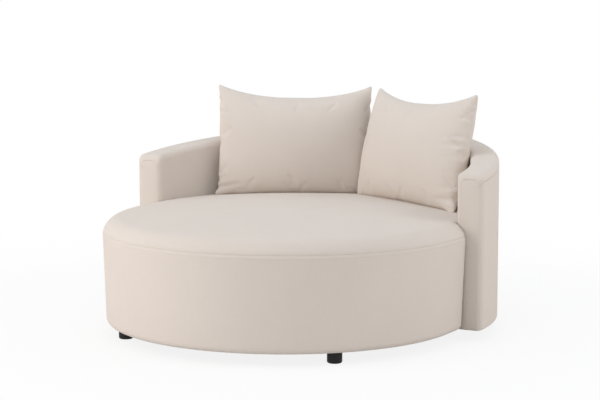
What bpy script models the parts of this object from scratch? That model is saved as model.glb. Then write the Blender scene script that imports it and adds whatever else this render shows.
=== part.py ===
"""Round sofa: a drum seat with a curved back bolted behind it, and two loose pillows.

Metres, +Z up, front towards -Y. The origin is on the floor, under the middle of the
whole sofa. The seat and the back are two upholstered frames, made one layer at a time
from the outside in: cover, padding, bent board, timber.
"""

import math

import bmesh
import bpy
from mathutils import Matrix, Vector

# Driving sizes of the seat
SEAT_RADIUS = 0.640
SEAT_RIM_HEIGHT = 0.410
SEAT_CROWN = 0.030
SEAT_EDGE_RADIUS = 0.066
SEAT_BOTTOM_EDGE_RADIUS = 0.020
SEAT_TAPER = 0.010
SEAM_DROP = 0.049
UNDERSIDE_HEIGHT = 0.040
SEAT_TUCK = 0.030
SEAT_LEAST_STEP = 0.002

# Driving sizes of the back
BACK_OVERHANG = 0.058
BACK_THICKNESS = 0.100
BACK_SET_BACK = 0.110
ARM_HEIGHT = 0.576
BACK_HEIGHT = 0.661
BACK_EDGE_RADIUS = 0.020
BACK_BOTTOM_EDGE_RADIUS = 0.012
BACK_TUCK = 0.025
BACK_SEAM_DROP = 0.028

# Layers and clearances
COVER = 0.0025
CLEAR = 0.0003
SOFT_CLEAR = 0.0006
SIDE_PADDING = 0.0125
BOARD = 0.004
PLYWOOD = 0.018
OVERRUN = 0.010

# Seat frame
SEAT_RING_WIDTH = 0.075
SEAT_RING_TOP = 0.280
POST_WIDTH = 0.045
POST_DEPTH = 0.035
WEB_WIDTH = 0.070
WEB_THICKNESS = 0.0018
WEB_WAVE = 0.0016
WEB_PITCH = 0.210
WEB_COUNT = 4
WEB_END_INSET = 0.045
DUST_COVER = 0.0012
DUST_COVER_INSET = 0.018
BACK_DUST_COVER_INSET = 0.014

# Back frame
BACK_OUTER_PADDING = 0.008
BACK_INNER_PADDING = 0.036
BACK_TOP_PADDING = 0.026
BACK_POST_ANGLES = (18, 54, 90, 126, 162)
END_PADDING = 0.019
END_BOARD = 0.012

# Feet and bolts
FOOT_RADIUS = 0.025
FOOT_EDGE = 0.002
FOOT_INSET = 0.067
FRONT_FOOT_ANGLES = {"left": -135, "right": -45}
REAR_FOOT_INSET = 0.0774
REAR_FOOT_ANGLES = {"left": 134, "right": 46}
FOOT_STUD_RADIUS = 0.004
FOOT_STUD_LENGTH = 0.034
FOOT_STUD_IN_RING = 0.014
BOLT_RADIUS = 0.004
BOLT_HEAD_RADIUS = 0.009
BOLT_HEAD_HEIGHT = 0.004
BOLT_HEIGHT = 0.160
BOLT_END_IN_POST = 0.030
BOLT_PLACES = {"rear_left": 126, "rear_right": 54, "side_left": 162, "side_right": 18}

# Pillows
PILLOW_WIDTH_SPARE = 0.010
PILLOW_HEIGHT = 0.414
PILLOW_DEPTH = 0.185
PILLOW_SIDE_DRAW = 0.0055
PILLOW_TOP_DRAW = 0.050
PILLOW_BOTTOM_DRAW = 0.007
PILLOW_FABRIC = 0.0020
PILLOW_SEAM = 0.010
ZIP_LENGTH = 0.400
ZIP_SLOT = 0.0045
ZIP_DEPTH = 0.006
PILLOW_FULLNESS_SHARE = 0.45
PILLOW_CURVE_SHARE = 2.4
PILLOW_PLACES = {
    "left": {"around": 121.85, "spare": 0.0072, "lift": 0.0050, "turn": 30.8, "lean": 10.1, "roll": -0.8},
    "right": {"around": 54.42, "spare": 0.0258, "lift": 0.0049, "turn": -28.0, "lean": 15.0, "roll": 0.7},
}

# Where things stand, worked out from the driving sizes
SEAM_HEIGHT = SEAT_RIM_HEIGHT - SEAM_DROP
BACK_RADIUS = SEAT_RADIUS + BACK_OVERHANG
SEAT_Y = -(BACK_SET_BACK + BACK_RADIUS - SEAT_RADIUS) / 2
BACK_Y = SEAT_Y + BACK_SET_BACK
BACK_INNER_RADIUS = BACK_RADIUS - BACK_THICKNESS
SEAT_REAR_RADIUS = BACK_INNER_RADIUS - SOFT_CLEAR
PILLOW_WIDTH = BACK_INNER_RADIUS - PILLOW_WIDTH_SPARE
BACK_SLOPE = (BACK_HEIGHT - ARM_HEIGHT) / BACK_RADIUS
FOOT_CIRCLE = SEAT_RADIUS - FOOT_INSET
REAR_FOOT_CIRCLE = SEAT_REAR_RADIUS - REAR_FOOT_INSET
RING_FLOOR = UNDERSIDE_HEIGHT + COVER + CLEAR
EDGE_FLOOR = SEAT_RIM_HEIGHT - SEAT_EDGE_RADIUS
SEAM_TURN = math.asin((SEAM_HEIGHT - EDGE_FLOOR) / SEAT_EDGE_RADIUS)

# How finely round shapes are divided
SEAT_FRONT_STEPS = 26
BACK_STEPS = 22
BACK_END_TURN = 3.6
LEAST_TURN = 0.05
EDGE_STEPS = 4
CROWN_STEPS = 3
ROUND_SIDES = 20
BOLT_SIDES = 12
PILLOW_STEPS = (12, 12)
ZIP_STEPS = 8

for old in list(bpy.data.objects):
    bpy.data.objects.remove(old, do_unlink=True)


def material(name, colour, roughness, metallic=0.0):
    made = bpy.data.materials.new(name)
    made.use_nodes = True
    shader = made.node_tree.nodes["Principled BSDF"]
    shader.inputs["Base Color"].default_value = (*colour, 1.0)
    shader.inputs["Roughness"].default_value = roughness
    shader.inputs["Metallic"].default_value = metallic
    return made


UPHOLSTERY = material("upholstery_fabric", (0.69, 0.60, 0.51), 0.90)
PLY = material("plywood", (0.62, 0.45, 0.28), 0.60)
TIMBER = material("timber", (0.66, 0.50, 0.32), 0.65)
HARDBOARD = material("bent_board", (0.36, 0.24, 0.14), 0.55)
FOAM = material("foam", (0.82, 0.78, 0.58), 0.95)
WADDING = material("fibre_filling", (0.88, 0.88, 0.86), 0.95)
WEBBING = material("elastic_webbing", (0.12, 0.12, 0.13), 0.80)
DUST_CLOTH = material("dust_cloth", (0.02, 0.02, 0.02), 0.95)
FOOT_PLASTIC = material("foot_plastic", (0.012, 0.012, 0.013), 0.35)
STEEL = material("zinc_steel", (0.62, 0.62, 0.60), 0.35, 1.0)
ZIP_CLOTH = material("zip_tape", (0.62, 0.55, 0.47), 0.80)


def place(name, mesh_bm, finish, smooth_angle=35):
    """Makes the object of this name from a bmesh, with its faces pointing out."""
    bmesh.ops.recalc_face_normals(mesh_bm, faces=mesh_bm.faces)
    if mesh_bm.calc_volume(signed=True) < 0:
        bmesh.ops.reverse_faces(mesh_bm, faces=mesh_bm.faces)
    mesh = bpy.data.meshes.new(name)
    mesh_bm.to_mesh(mesh)
    mesh_bm.free()
    mesh.shade_smooth()
    mesh.set_sharp_from_angle(angle=math.radians(smooth_angle))
    mesh.materials.append(finish)
    made = bpy.data.objects.new(name, mesh)
    bpy.context.scene.collection.objects.link(made)
    return made


def loft(name, loops, finish, ring=False):
    """Joins loops of equal count in order. A ring closes on itself; otherwise both ends are capped."""
    mesh_bm = bmesh.new()
    rows = [[mesh_bm.verts.new(point) for point in loop] for loop in loops]
    pairs = list(zip(rows, rows[1:] + rows[:1])) if ring else list(zip(rows, rows[1:]))
    for one, two in pairs:
        for i in range(len(one)):
            j = (i + 1) % len(one)
            mesh_bm.faces.new((one[i], one[j], two[j], two[i]))
    if not ring:
        mesh_bm.faces.new(rows[0])
        mesh_bm.faces.new(rows[-1])
    return place(name, mesh_bm, finish)


def cutter(name, radius, length, matrix):
    """A hidden cylinder along its own Z, for the holes that bolts and studs pass through."""
    mesh_bm = bmesh.new()
    bmesh.ops.create_cone(
        mesh_bm, cap_ends=True, segments=BOLT_SIDES, radius1=radius, radius2=radius, depth=length
    )
    made = place(name, mesh_bm, STEEL)
    made.matrix_world = matrix
    made.hide_render = True
    made.display_type = "WIRE"
    return made


def drill(target, tool):
    cut = target.modifiers.new("hole_" + tool.name, "BOOLEAN")
    cut.operation = "DIFFERENCE"
    cut.solver = "EXACT"
    cut.object = tool


def fan(centre_y, radius, start, steps):
    """A half circle about (0, centre_y) that starts and ends this turn from the X axis.

    The points between keep the same turns at every radius, so that layers stay parallel.
    """
    least = math.radians(LEAST_TURN)
    angles = [start]
    for i in range(steps + 1):
        angles.append(max(math.pi * i / steps, start + least * (i + 1)))
    angles = [min(a, math.pi - start - least * (steps + 1 - i)) for i, a in enumerate(angles)]
    angles.append(math.pi - start)
    return [(radius * math.cos(a), centre_y + radius * math.sin(a)) for a in angles]


def flat_inside(radius, width, steps):
    """The furthest out that the flat face of a block fits inside a half circle of this many facets."""
    return math.sqrt((radius * math.cos(math.pi / steps / 2)) ** 2 - (width / 2) ** 2)


# Seat outline: a round front, straight sides stepped in at the arm ends, a round rear inside the back


def seat_taper(height):
    above = max(0.0, SEAM_HEIGHT - height)
    return SEAT_TAPER * above / (SEAM_HEIGHT - UNDERSIDE_HEIGHT)


def seat_loop(inset, height, rear_inset=None):
    """The seat's outline at a height, this far inside its cover.

    Inside the back the top edge is cut off by the back's wall, so its rear inset is smaller.
    """
    if rear_inset is None:
        rear_inset = inset
    front = SEAT_RADIUS - inset
    rear = SEAT_REAR_RADIUS - rear_inset
    step_y = BACK_Y - SOFT_CLEAR - rear_inset
    flat = fan(BACK_Y, rear, math.asin((step_y - BACK_Y) / rear), BACK_STEPS)
    flat.append((-front, step_y))
    for i in range(SEAT_FRONT_STEPS + 1):
        turn = math.pi * (1 + i / SEAT_FRONT_STEPS)
        flat.append((front * math.cos(turn), SEAT_Y + front * math.sin(turn)))
    flat.append((front, step_y))
    return [Vector((x, y, height)) for x, y in flat]


def seat_wall(inset, height):
    return seat_loop(inset + seat_taper(height), height)


def shrunk(loop, share, rise):
    """A copy of a seat loop drawn in towards the middle of the seat and lifted."""
    middle = Vector((0, SEAT_Y, 0))
    return [
        Vector((middle.x + (p.x - middle.x) * share, middle.y + (p.y - middle.y) * share, p.z + rise))
        for p in loop
    ]


def seat_edge_loop(depth, turn):
    """The outline at a turn round the padded top edge, this deep under the cover's face."""
    radius = SEAT_EDGE_RADIUS - depth
    inset = SEAT_EDGE_RADIUS - radius * math.cos(turn)
    cut_off = SEAT_RADIUS - SEAT_REAR_RADIUS - SEAT_LEAST_STEP
    return seat_loop(inset, EDGE_FLOOR + radius * math.sin(turn), max(depth, inset - cut_off))


def seat_top_loops(depth):
    """From the seam up round the top edge and over the crown, this deep under the cover's face."""
    turns = [SEAM_TURN + (math.pi / 2 - SEAM_TURN) * i / EDGE_STEPS for i in range(EDGE_STEPS + 1)]
    loops = [seat_edge_loop(depth, turn) for turn in turns]
    rim = loops[-1]
    for i in range(1, CROWN_STEPS + 1):
        share = 1 - i / (CROWN_STEPS + 1)
        loops.append(shrunk(rim, share, SEAT_CROWN * (1 - share * share)))
    return loops


def build_seat():
    loft("seat_top_cover", seat_top_loops(0)[::-1] + seat_top_loops(COVER), UPHOLSTERY)

    core_floor = SEAT_RING_TOP + CLEAR + WEB_THICKNESS + 2 * WEB_WAVE + 2 * CLEAR
    side = COVER + CLEAR
    core = [seat_wall(side, core_floor), seat_wall(side, EDGE_FLOOR)] + seat_top_loops(side)
    loft("seat_foam_core", core, FOAM)

    radius = SEAT_BOTTOM_EDGE_RADIUS
    below_seam = SEAM_TURN - CLEAR / SEAT_EDGE_RADIUS
    face = [seat_edge_loop(0, below_seam), seat_wall(0, EDGE_FLOOR)]
    lining = [seat_edge_loop(COVER, below_seam), seat_wall(COVER, EDGE_FLOOR)]
    for i in range(EDGE_STEPS + 1):
        turn = math.pi / 2 * i / EDGE_STEPS
        inset = radius * (1 - math.cos(turn))
        face.append(seat_wall(inset, UNDERSIDE_HEIGHT + radius * (1 - math.sin(turn))))
        inner_radius = radius - COVER
        inset = radius - inner_radius * math.cos(turn)
        lining.append(seat_wall(inset, UNDERSIDE_HEIGHT + radius - inner_radius * math.sin(turn)))
    face.append(seat_wall(radius + SEAT_TUCK, UNDERSIDE_HEIGHT))
    lining.append(seat_wall(radius + SEAT_TUCK, UNDERSIDE_HEIGHT + COVER))
    loft("seat_border_cover", face + lining[::-1], UPHOLSTERY, ring=True)

    pad_face = COVER + CLEAR
    pad_back = pad_face + SIDE_PADDING
    pad_floor = UNDERSIDE_HEIGHT + SEAT_BOTTOM_EDGE_RADIUS
    sleeve("seat_side_padding", pad_face, pad_back, pad_floor, SEAT_RING_TOP, FOAM)
    board_face = pad_back + CLEAR
    board_back = board_face + BOARD
    board_floor = UNDERSIDE_HEIGHT + SEAT_BOTTOM_EDGE_RADIUS / 2
    sleeve("seat_side_board", board_face, board_back, board_floor, SEAT_RING_TOP, HARDBOARD)

    ring_face = board_back + CLEAR
    ring_back = ring_face + SEAT_RING_WIDTH
    ring_top = SEAT_RING_TOP - PLYWOOD
    sleeve("seat_bottom_ring", ring_face, ring_back, RING_FLOOR, RING_FLOOR + PLYWOOD, PLY)
    sleeve("seat_top_ring", ring_face, ring_back, ring_top, SEAT_RING_TOP, PLY)
    return ring_face


def sleeve(name, face, back, floor, top, finish):
    """An upright wall or a flat ring that follows the seat's outline."""
    loops = [seat_wall(face, floor), seat_wall(face, top), seat_wall(back, top), seat_wall(back, floor)]
    loft(name, loops, finish, ring=True)


def upright(name, centre_y, angle, radius, depth, width, floor, top, finish, slant=0.0):
    """A timber post: its outer face at this radius, square to it. A slanted top follows the back."""
    mesh_bm = bmesh.new()
    bmesh.ops.create_cube(mesh_bm, size=1)
    turn = Matrix.Rotation(math.radians(angle), 4, "Z")
    for vert in mesh_bm.verts:
        raised = vert.co.z > 0
        flat = turn @ Vector((radius - depth / 2 + vert.co.x * depth, vert.co.y * width, 0))
        height = top + slant * flat.y if raised else floor
        vert.co = Vector((flat.x, centre_y + flat.y, height))
    return place(name, mesh_bm, finish)


def build_seat_posts(ring_face):
    """Two posts over the front feet, four where the back is bolted on."""
    floor = RING_FLOOR + PLYWOOD + CLEAR
    top = SEAT_RING_TOP - PLYWOOD - CLEAR
    inset = ring_face + SEAT_TAPER
    posts = {}
    radius = flat_inside(SEAT_RADIUS - inset, POST_WIDTH, SEAT_FRONT_STEPS)
    for side, angle in FRONT_FOOT_ANGLES.items():
        name = "seat_post_front_" + side
        upright(name, SEAT_Y, angle, radius, POST_DEPTH, POST_WIDTH, floor, top, TIMBER)
    radius = flat_inside(SEAT_REAR_RADIUS - inset, POST_WIDTH, BACK_STEPS)
    for spot, angle in BOLT_PLACES.items():
        name = "seat_post_" + spot
        posts[spot] = upright(name, BACK_Y, angle, radius, POST_DEPTH, POST_WIDTH, floor, top, TIMBER)
    return posts


def build_webbing():
    """Elastic straps woven over and under each other, their ends on the plywood ring."""
    middle = SEAT_RING_TOP + CLEAR + WEB_WAVE + WEB_THICKNESS / 2
    first = -(WEB_COUNT - 1) / 2
    for i in range(WEB_COUNT):
        across = (first + i) * WEB_PITCH
        start, end = strap_ends_along_y(across)
        strap("seat_webbing_lengthwise_%d" % (i + 1), "y", across, start, end, middle, i, 1)
        along = SEAT_Y + (first + i) * WEB_PITCH
        reach = strap_end_across(along)
        strap("seat_webbing_crosswise_%d" % (i + 1), "x", along, -reach, reach, middle, i, -1)


def strap_ends_along_y(across):
    edge = abs(across) + WEB_WIDTH / 2
    front = SEAT_RADIUS - WEB_END_INSET
    rear = SEAT_REAR_RADIUS - WEB_END_INSET
    return SEAT_Y - math.sqrt(front**2 - edge**2), BACK_Y + math.sqrt(rear**2 - edge**2)


def strap_end_across(along):
    half = WEB_WIDTH / 2
    front = SEAT_RADIUS - WEB_END_INSET
    rear = SEAT_REAR_RADIUS - WEB_END_INSET
    reach = rear
    if along - half < BACK_Y:
        reach = min(reach, math.sqrt(front**2 - (along - half - SEAT_Y) ** 2))
    if along + half > BACK_Y:
        reach = min(reach, math.sqrt(rear**2 - (along + half - BACK_Y) ** 2))
    return reach


def strap(name, direction, offset, start, end, middle, number, sign):
    """One strap. Its height waves so that it passes over one crossing strap and under the next."""
    first = -(WEB_COUNT - 1) / 2 * WEB_PITCH + (SEAT_Y if direction == "y" else 0)
    steps = max(2, round((end - start) / WEB_PITCH * WEB_COUNT))
    loops = []
    for i in range(steps + 1):
        run = start + (end - start) * i / steps
        phase = math.pi * ((run - first) / WEB_PITCH + number)
        height = middle + sign * WEB_WAVE * math.cos(phase)
        low = height - WEB_THICKNESS / 2
        high = height + WEB_THICKNESS / 2
        corners = (
            (offset - WEB_WIDTH / 2, low), (offset + WEB_WIDTH / 2, low),
            (offset + WEB_WIDTH / 2, high), (offset - WEB_WIDTH / 2, high),
        )
        if direction == "y":
            loops.append([Vector((side, run, z)) for side, z in corners])
        else:
            loops.append([Vector((run, side, z)) for side, z in corners])
    loft(name, loops, WEBBING)


# Back: every layer is a section carried round the half circle, with both ends cut flat


def back_top(y):
    """Height of the back's top face, a plane that climbs from the arm ends to the back."""
    return ARM_HEIGHT + BACK_SLOPE * (y - BACK_Y)


def low(radius, height, side=0):
    return {"radius": radius, "follow": 0, "height": height, "side": side}


def high(radius, drop, side=0):
    return {"radius": radius, "follow": 1, "height": -drop, "side": side}


def sweep_back(name, section, finish, end_inset, end_round=0.0):
    """Carries the section round the back. end_round draws it in at both ends, as a padded edge does."""
    turns = [0.0]
    if end_round:
        turns = [math.pi / 2 * i / EDGE_STEPS for i in range(EDGE_STEPS + 1)]
    ends = [(end_inset + end_round * (1 - math.cos(t)), end_round * (1 - math.sin(t))) for t in turns]
    middle = [math.radians(BACK_END_TURN)]
    middle += [math.pi * i / BACK_STEPS for i in range(1, BACK_STEPS)]
    middle += [math.pi - math.radians(BACK_END_TURN)]
    stations = [("right", distance, draw) for distance, draw in ends]
    stations += [("between", angle, 0.0) for angle in middle]
    stations += [("left", distance, draw) for distance, draw in ends[::-1]]
    loops = []
    for part, place_along, draw in stations:
        loop = []
        for point in section:
            radius = point["radius"] - point["side"] * draw
            angle = place_along if part == "between" else math.asin(place_along / radius)
            if part == "left":
                angle = math.pi - angle
            y = BACK_Y + radius * math.sin(angle)
            height = point["height"]
            if point["follow"]:
                height += back_top(y) - draw
            loop.append(Vector((radius * math.cos(angle), y, height)))
        loops.append(loop)
    return loft(name, loops, finish)


def edge_turn(radius_at, side, drop_at, edge, start, end):
    """Points of a rounded top edge, as high() points. Turns run from 0, upright, to 90, flat."""
    points = []
    for i in range(EDGE_STEPS + 1):
        turn = math.radians(start + (end - start) * i / EDGE_STEPS)
        radius = radius_at - side * edge * (1 - math.cos(turn))
        points.append(high(radius, drop_at + edge * (1 - math.sin(turn)), side))
    return points


def build_back_covers():
    """The inside cover rises from the floor edge, rolls over the top and meets the outside at a seam."""
    inner = BACK_INNER_RADIUS
    outer = BACK_RADIUS
    edge = BACK_EDGE_RADIUS
    thin = edge - COVER
    floor = UNDERSIDE_HEIGHT
    face = [low(inner + BACK_TUCK, floor, -1), low(inner, floor, -1)]
    face += edge_turn(inner, -1, 0, edge, 0, 90)
    face += edge_turn(outer, 1, 0, edge, 90, 0)
    face += [high(outer, BACK_SEAM_DROP, 1)]
    lining = [high(outer - COVER, BACK_SEAM_DROP, 1)]
    lining += edge_turn(outer - COVER, 1, COVER, thin, 0, 90)
    lining += edge_turn(inner + COVER, -1, COVER, thin, 90, 0)
    lining += [low(inner + COVER, floor + COVER, -1), low(inner + BACK_TUCK, floor + COVER, -1)]
    inside = sweep_back("back_inside_cover", face + lining, UPHOLSTERY, 0, edge)

    seam = BACK_SEAM_DROP + CLEAR
    round_in = BACK_BOTTOM_EDGE_RADIUS
    section = [
        low(outer - BACK_TUCK, floor, 1),
        low(outer - round_in, floor, 1),
        low(outer, floor + round_in, 1),
        high(outer, seam, 1),
        high(outer - COVER, seam, 1),
        low(outer - COVER, floor + round_in, 1),
        low(outer - round_in, floor + COVER, 1),
        low(outer - BACK_TUCK, floor + COVER, 1),
    ]
    sweep_back("back_outside_cover", section, UPHOLSTERY, 0, edge)
    return inside


def build_back_frame():
    """Padding, bent boards, rails and posts, from both faces inwards, and the cloth underneath."""
    pad_floor = RING_FLOOR
    top = COVER + CLEAR
    shelf = top + BACK_TOP_PADDING
    out_face = BACK_RADIUS - COVER - CLEAR
    out_pad = out_face - BACK_OUTER_PADDING
    in_face = BACK_INNER_RADIUS + COVER + CLEAR
    in_pad = in_face + BACK_INNER_PADDING
    soft_end = COVER + END_PADDING + 3 * CLEAR

    edge = BACK_EDGE_RADIUS - COVER - CLEAR
    section = [low(in_pad, pad_floor), low(in_face, pad_floor)]
    section += edge_turn(in_face, -1, top, edge, 0, 90)
    section += edge_turn(out_face, 1, top, edge, 90, 0)
    section += [high(out_face, shelf), high(in_pad, shelf)]
    for point in section:
        point["side"] = 0
    padding = sweep_back("back_inside_padding", section, FOAM, soft_end)

    wall_top = shelf + CLEAR
    pad_start = UNDERSIDE_HEIGHT + BACK_BOTTOM_EDGE_RADIUS
    wall("back_outside_padding", out_pad, out_face, pad_start, wall_top, FOAM, soft_end)
    out_board = out_pad - CLEAR
    wall("back_outside_board", out_board - BOARD, out_board, pad_start, wall_top, HARDBOARD, soft_end)
    in_board = in_pad + CLEAR
    board = wall("back_inside_board", in_board, in_board + BOARD, pad_floor, wall_top, HARDBOARD, soft_end)

    frame_in = in_board + BOARD + CLEAR
    frame_out = out_board - BOARD - CLEAR
    end_board = soft_end + END_BOARD + CLEAR
    section = [
        low(frame_in, pad_floor), low(frame_out, pad_floor),
        low(frame_out, pad_floor + PLYWOOD), low(frame_in, pad_floor + PLYWOOD),
    ]
    sweep_back("back_bottom_rail", section, PLY, end_board)
    section = [
        high(frame_in, wall_top + PLYWOOD), high(frame_out, wall_top + PLYWOOD),
        high(frame_out, wall_top), high(frame_in, wall_top),
    ]
    sweep_back("back_top_rail", section, PLY, end_board)

    post_face = flat_inside(frame_out, POST_WIDTH, BACK_STEPS)
    top_drop = wall_top + PLYWOOD + CLEAR
    floor = pad_floor + PLYWOOD + CLEAR
    posts = {}
    for number, angle in enumerate(BACK_POST_ANGLES):
        posts[angle] = upright(
            "back_post_%d" % (number + 1), BACK_Y, angle, post_face, post_face - frame_in, POST_WIDTH,
            floor, ARM_HEIGHT - top_drop, TIMBER, slant=BACK_SLOPE,
        )
    board_out = math.sqrt(frame_out**2 - end_board**2)
    for side, mirror in (("left", -1), ("right", 1)):
        end_plate(
            "arm_end_board_" + side, mirror, frame_in, board_out, soft_end, END_BOARD,
            pad_floor, wall_top, PLY, 0,
        )
        face_in = BACK_INNER_RADIUS + BACK_EDGE_RADIUS + COVER + CLEAR
        face_out = BACK_RADIUS - BACK_EDGE_RADIUS - COVER - CLEAR
        face_top = BACK_EDGE_RADIUS + COVER + CLEAR
        end_plate(
            "arm_end_padding_" + side, mirror, face_in, face_out, COVER + CLEAR, END_PADDING,
            pad_floor, face_top, FOAM, 0,
        )
        end_plate(
            "arm_end_cover_" + side, mirror, face_in, face_out, 0, COVER,
            pad_floor, face_top, UPHOLSTERY, EDGE_STEPS,
        )
    dust_top = UNDERSIDE_HEIGHT - CLEAR
    section = [
        low(BACK_INNER_RADIUS + BACK_DUST_COVER_INSET, dust_top - DUST_COVER),
        low(BACK_RADIUS - BACK_DUST_COVER_INSET, dust_top - DUST_COVER),
        low(BACK_RADIUS - BACK_DUST_COVER_INSET, dust_top),
        low(BACK_INNER_RADIUS + BACK_DUST_COVER_INSET, dust_top),
    ]
    sweep_back("back_dust_cover", section, DUST_CLOTH, BACK_DUST_COVER_INSET)
    return [padding, board], posts


def wall(name, inner, outer, floor, drop, finish, end_inset):
    section = [low(inner, floor), low(outer, floor), high(outer, drop), high(inner, drop)]
    return sweep_back(name, section, finish, end_inset)


def end_plate(name, mirror, inner, outer, start, thickness, floor, drop, finish, corner_steps):
    """An upright plate across an arm's end, under the sloping top. The cover's has round top corners."""
    corner = BACK_EDGE_RADIUS if corner_steps else 0.0
    chamfer = BACK_BOTTOM_EDGE_RADIUS
    foot = [(inner, floor), (outer - chamfer, floor), (outer, floor + chamfer)]
    head = []
    for i in range(corner_steps + 1):
        turn = math.pi / 2 * i / max(1, corner_steps)
        head.append((outer - corner * (1 - math.cos(turn)), -corner * (1 - math.sin(turn))))
    for i in range(corner_steps + 1):
        turn = math.pi / 2 * (1 - i / max(1, corner_steps))
        head.append((inner + corner * (1 - math.cos(turn)), -corner * (1 - math.sin(turn))))
    loops = []
    for y in (BACK_Y + start, BACK_Y + start + thickness):
        loop = [Vector((mirror * x, y, height)) for x, height in foot]
        loop += [Vector((mirror * x, y, back_top(y) - drop + fall)) for x, fall in head]
        loops.append(loop)
    loft(name, loops, finish)


# Feet, their studs, and the bolts that hold the back to the seat

def turned(name, profile, sides, finish):
    """A solid of revolution about its own Z, from (radius, height) points, bottom to top."""
    loops = []
    for radius, height in profile:
        turns = [math.tau * i / sides for i in range(sides)]
        loops.append([Vector((radius * math.cos(t), radius * math.sin(t), height)) for t in turns])
    return loft(name, loops, finish)


def foot_places():
    for side, angle in FRONT_FOOT_ANGLES.items():
        turn = math.radians(angle)
        yield "front_" + side, FOOT_CIRCLE * math.cos(turn), SEAT_Y + FOOT_CIRCLE * math.sin(turn)
    for side, angle in REAR_FOOT_ANGLES.items():
        turn = math.radians(angle)
        x = REAR_FOOT_CIRCLE * math.cos(turn)
        yield "rear_" + side, x, BACK_Y + REAR_FOOT_CIRCLE * math.sin(turn)


def build_feet():
    dust_floor = UNDERSIDE_HEIGHT - CLEAR - DUST_COVER
    loops = [seat_wall(DUST_COVER_INSET + SEAT_BOTTOM_EDGE_RADIUS, dust_floor)]
    loops.append(seat_wall(DUST_COVER_INSET + SEAT_BOTTOM_EDGE_RADIUS, dust_floor + DUST_COVER))
    dust_cover = loft("seat_dust_cover", loops, DUST_CLOTH)
    ring = bpy.data.objects["seat_bottom_ring"]
    height = dust_floor - CLEAR
    bore = FOOT_STUD_RADIUS + CLEAR
    stud_end = RING_FLOOR + FOOT_STUD_IN_RING
    stud_start = stud_end - FOOT_STUD_LENGTH
    for place_name, x, y in foot_places():
        profile = [
            (FOOT_RADIUS - FOOT_EDGE, 0), (FOOT_RADIUS, FOOT_EDGE),
            (FOOT_RADIUS, height - FOOT_EDGE), (FOOT_RADIUS - FOOT_EDGE, height),
            (bore, height), (bore, stud_start - CLEAR),
        ]
        foot = turned("foot_" + place_name, profile, ROUND_SIDES, FOOT_PLASTIC)
        foot.location = (x, y, 0)
        profile = [(FOOT_STUD_RADIUS, stud_start), (FOOT_STUD_RADIUS, stud_end)]
        stud = turned("foot_stud_" + place_name, profile, BOLT_SIDES, STEEL)
        stud.location = (x, y, 0)
        length = FOOT_STUD_LENGTH + OVERRUN
        middle = (stud_end + CLEAR) - length / 2
        tool = cutter("stud_hole_" + place_name, bore, length, Matrix.Translation((x, y, middle)))
        drill(dust_cover, tool)
        drill(ring, tool)


def build_bolts(seat_posts, back_posts, layers):
    """Each bolt runs outwards through a seat post and every layer between it and a back post."""
    inset = COVER + SIDE_PADDING + BOARD + 3 * CLEAR + SEAT_TAPER
    post_face = flat_inside(SEAT_REAR_RADIUS - inset, POST_WIDTH, BACK_STEPS)
    head = post_face - POST_DEPTH - CLEAR
    tip = BACK_INNER_RADIUS + COVER + BACK_INNER_PADDING + BOARD + BOLT_END_IN_POST
    bore = BOLT_RADIUS + CLEAR
    for place_name, angle in BOLT_PLACES.items():
        aim = Matrix.Translation((0, BACK_Y, BOLT_HEIGHT))
        aim = aim @ Matrix.Rotation(math.radians(angle), 4, "Z") @ Matrix.Rotation(math.pi / 2, 4, "Y")
        profile = [
            (BOLT_HEAD_RADIUS, head - BOLT_HEAD_HEIGHT), (BOLT_HEAD_RADIUS, head),
            (BOLT_RADIUS, head), (BOLT_RADIUS, tip),
        ]
        bolt = turned("back_bolt_" + place_name, profile, BOLT_SIDES, STEEL)
        bolt.matrix_world = aim
        length = tip + CLEAR - head + OVERRUN
        tool_place = aim @ Matrix.Translation((0, 0, tip + CLEAR - length / 2))
        tool = cutter("bolt_hole_" + place_name, bore, length, tool_place)
        for layer in [seat_posts[place_name], back_posts[angle]] + layers:
            drill(layer, tool)


# Pillows: knife-edged, the upper edge drawn down between its corners, each leaning on the back


def end_curve(u, draw):
    """How far an upper or lower edge is drawn in: all of it between the corners, none at them."""
    return draw * (1 - abs(u) ** PILLOW_CURVE_SHARE)


def pillow_half(u, v, width, height, depth, seam):
    """A point of the stuffed form, seam being how far its edge lies inside the cover's."""
    half_width = width / 2 - seam
    half_height = height / 2 - seam
    x = u * (half_width - PILLOW_SIDE_DRAW * (1 - v * v))
    y = v * (half_height - end_curve(u, PILLOW_TOP_DRAW if v > 0 else PILLOW_BOTTOM_DRAW))
    fullness = ((1 - u * u) * (1 - v * v)) ** PILLOW_FULLNESS_SHARE
    return Vector((x, y, depth / 2 * fullness))


def spread(i, steps):
    """Grid lines closer together near the edges, where the form turns fast."""
    return -math.cos(math.pi * i / steps)


def pillow_solid(name, seam, thickness, finish):
    columns, rows = PILLOW_STEPS
    mesh_bm = bmesh.new()
    grids = []
    for face in (1, -1):
        grid = {}
        for i in range(columns + 1):
            for j in range(rows + 1):
                point = pillow_half(
                    spread(i, columns), spread(j, rows), PILLOW_WIDTH, PILLOW_HEIGHT, thickness, seam
                )
                rim = i in (0, columns) or j in (0, rows)
                if rim and face == -1:
                    grid[i, j] = grids[0][i, j]
                else:
                    grid[i, j] = mesh_bm.verts.new((point.x, point.y, face * point.z))
        grids.append(grid)
        for i in range(columns):
            for j in range(rows):
                corners = [grid[i, j], grid[i + 1, j], grid[i + 1, j + 1], grid[i, j + 1]]
                if (i < columns / 2) != (j < rows / 2):
                    corners = corners[1:] + corners[:1]
                mesh_bm.faces.new(corners[:3])
                mesh_bm.faces.new([corners[0], corners[2], corners[3]])
    return place(name, mesh_bm, finish, smooth_angle=80)


def block(name, size, middle, finish):
    mesh_bm = bmesh.new()
    bmesh.ops.create_cube(mesh_bm, size=1)
    for vert in mesh_bm.verts:
        vert.co = Vector([vert.co[k] * size[k] + middle[k] for k in range(3)])
    return place(name, mesh_bm, finish)


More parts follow.
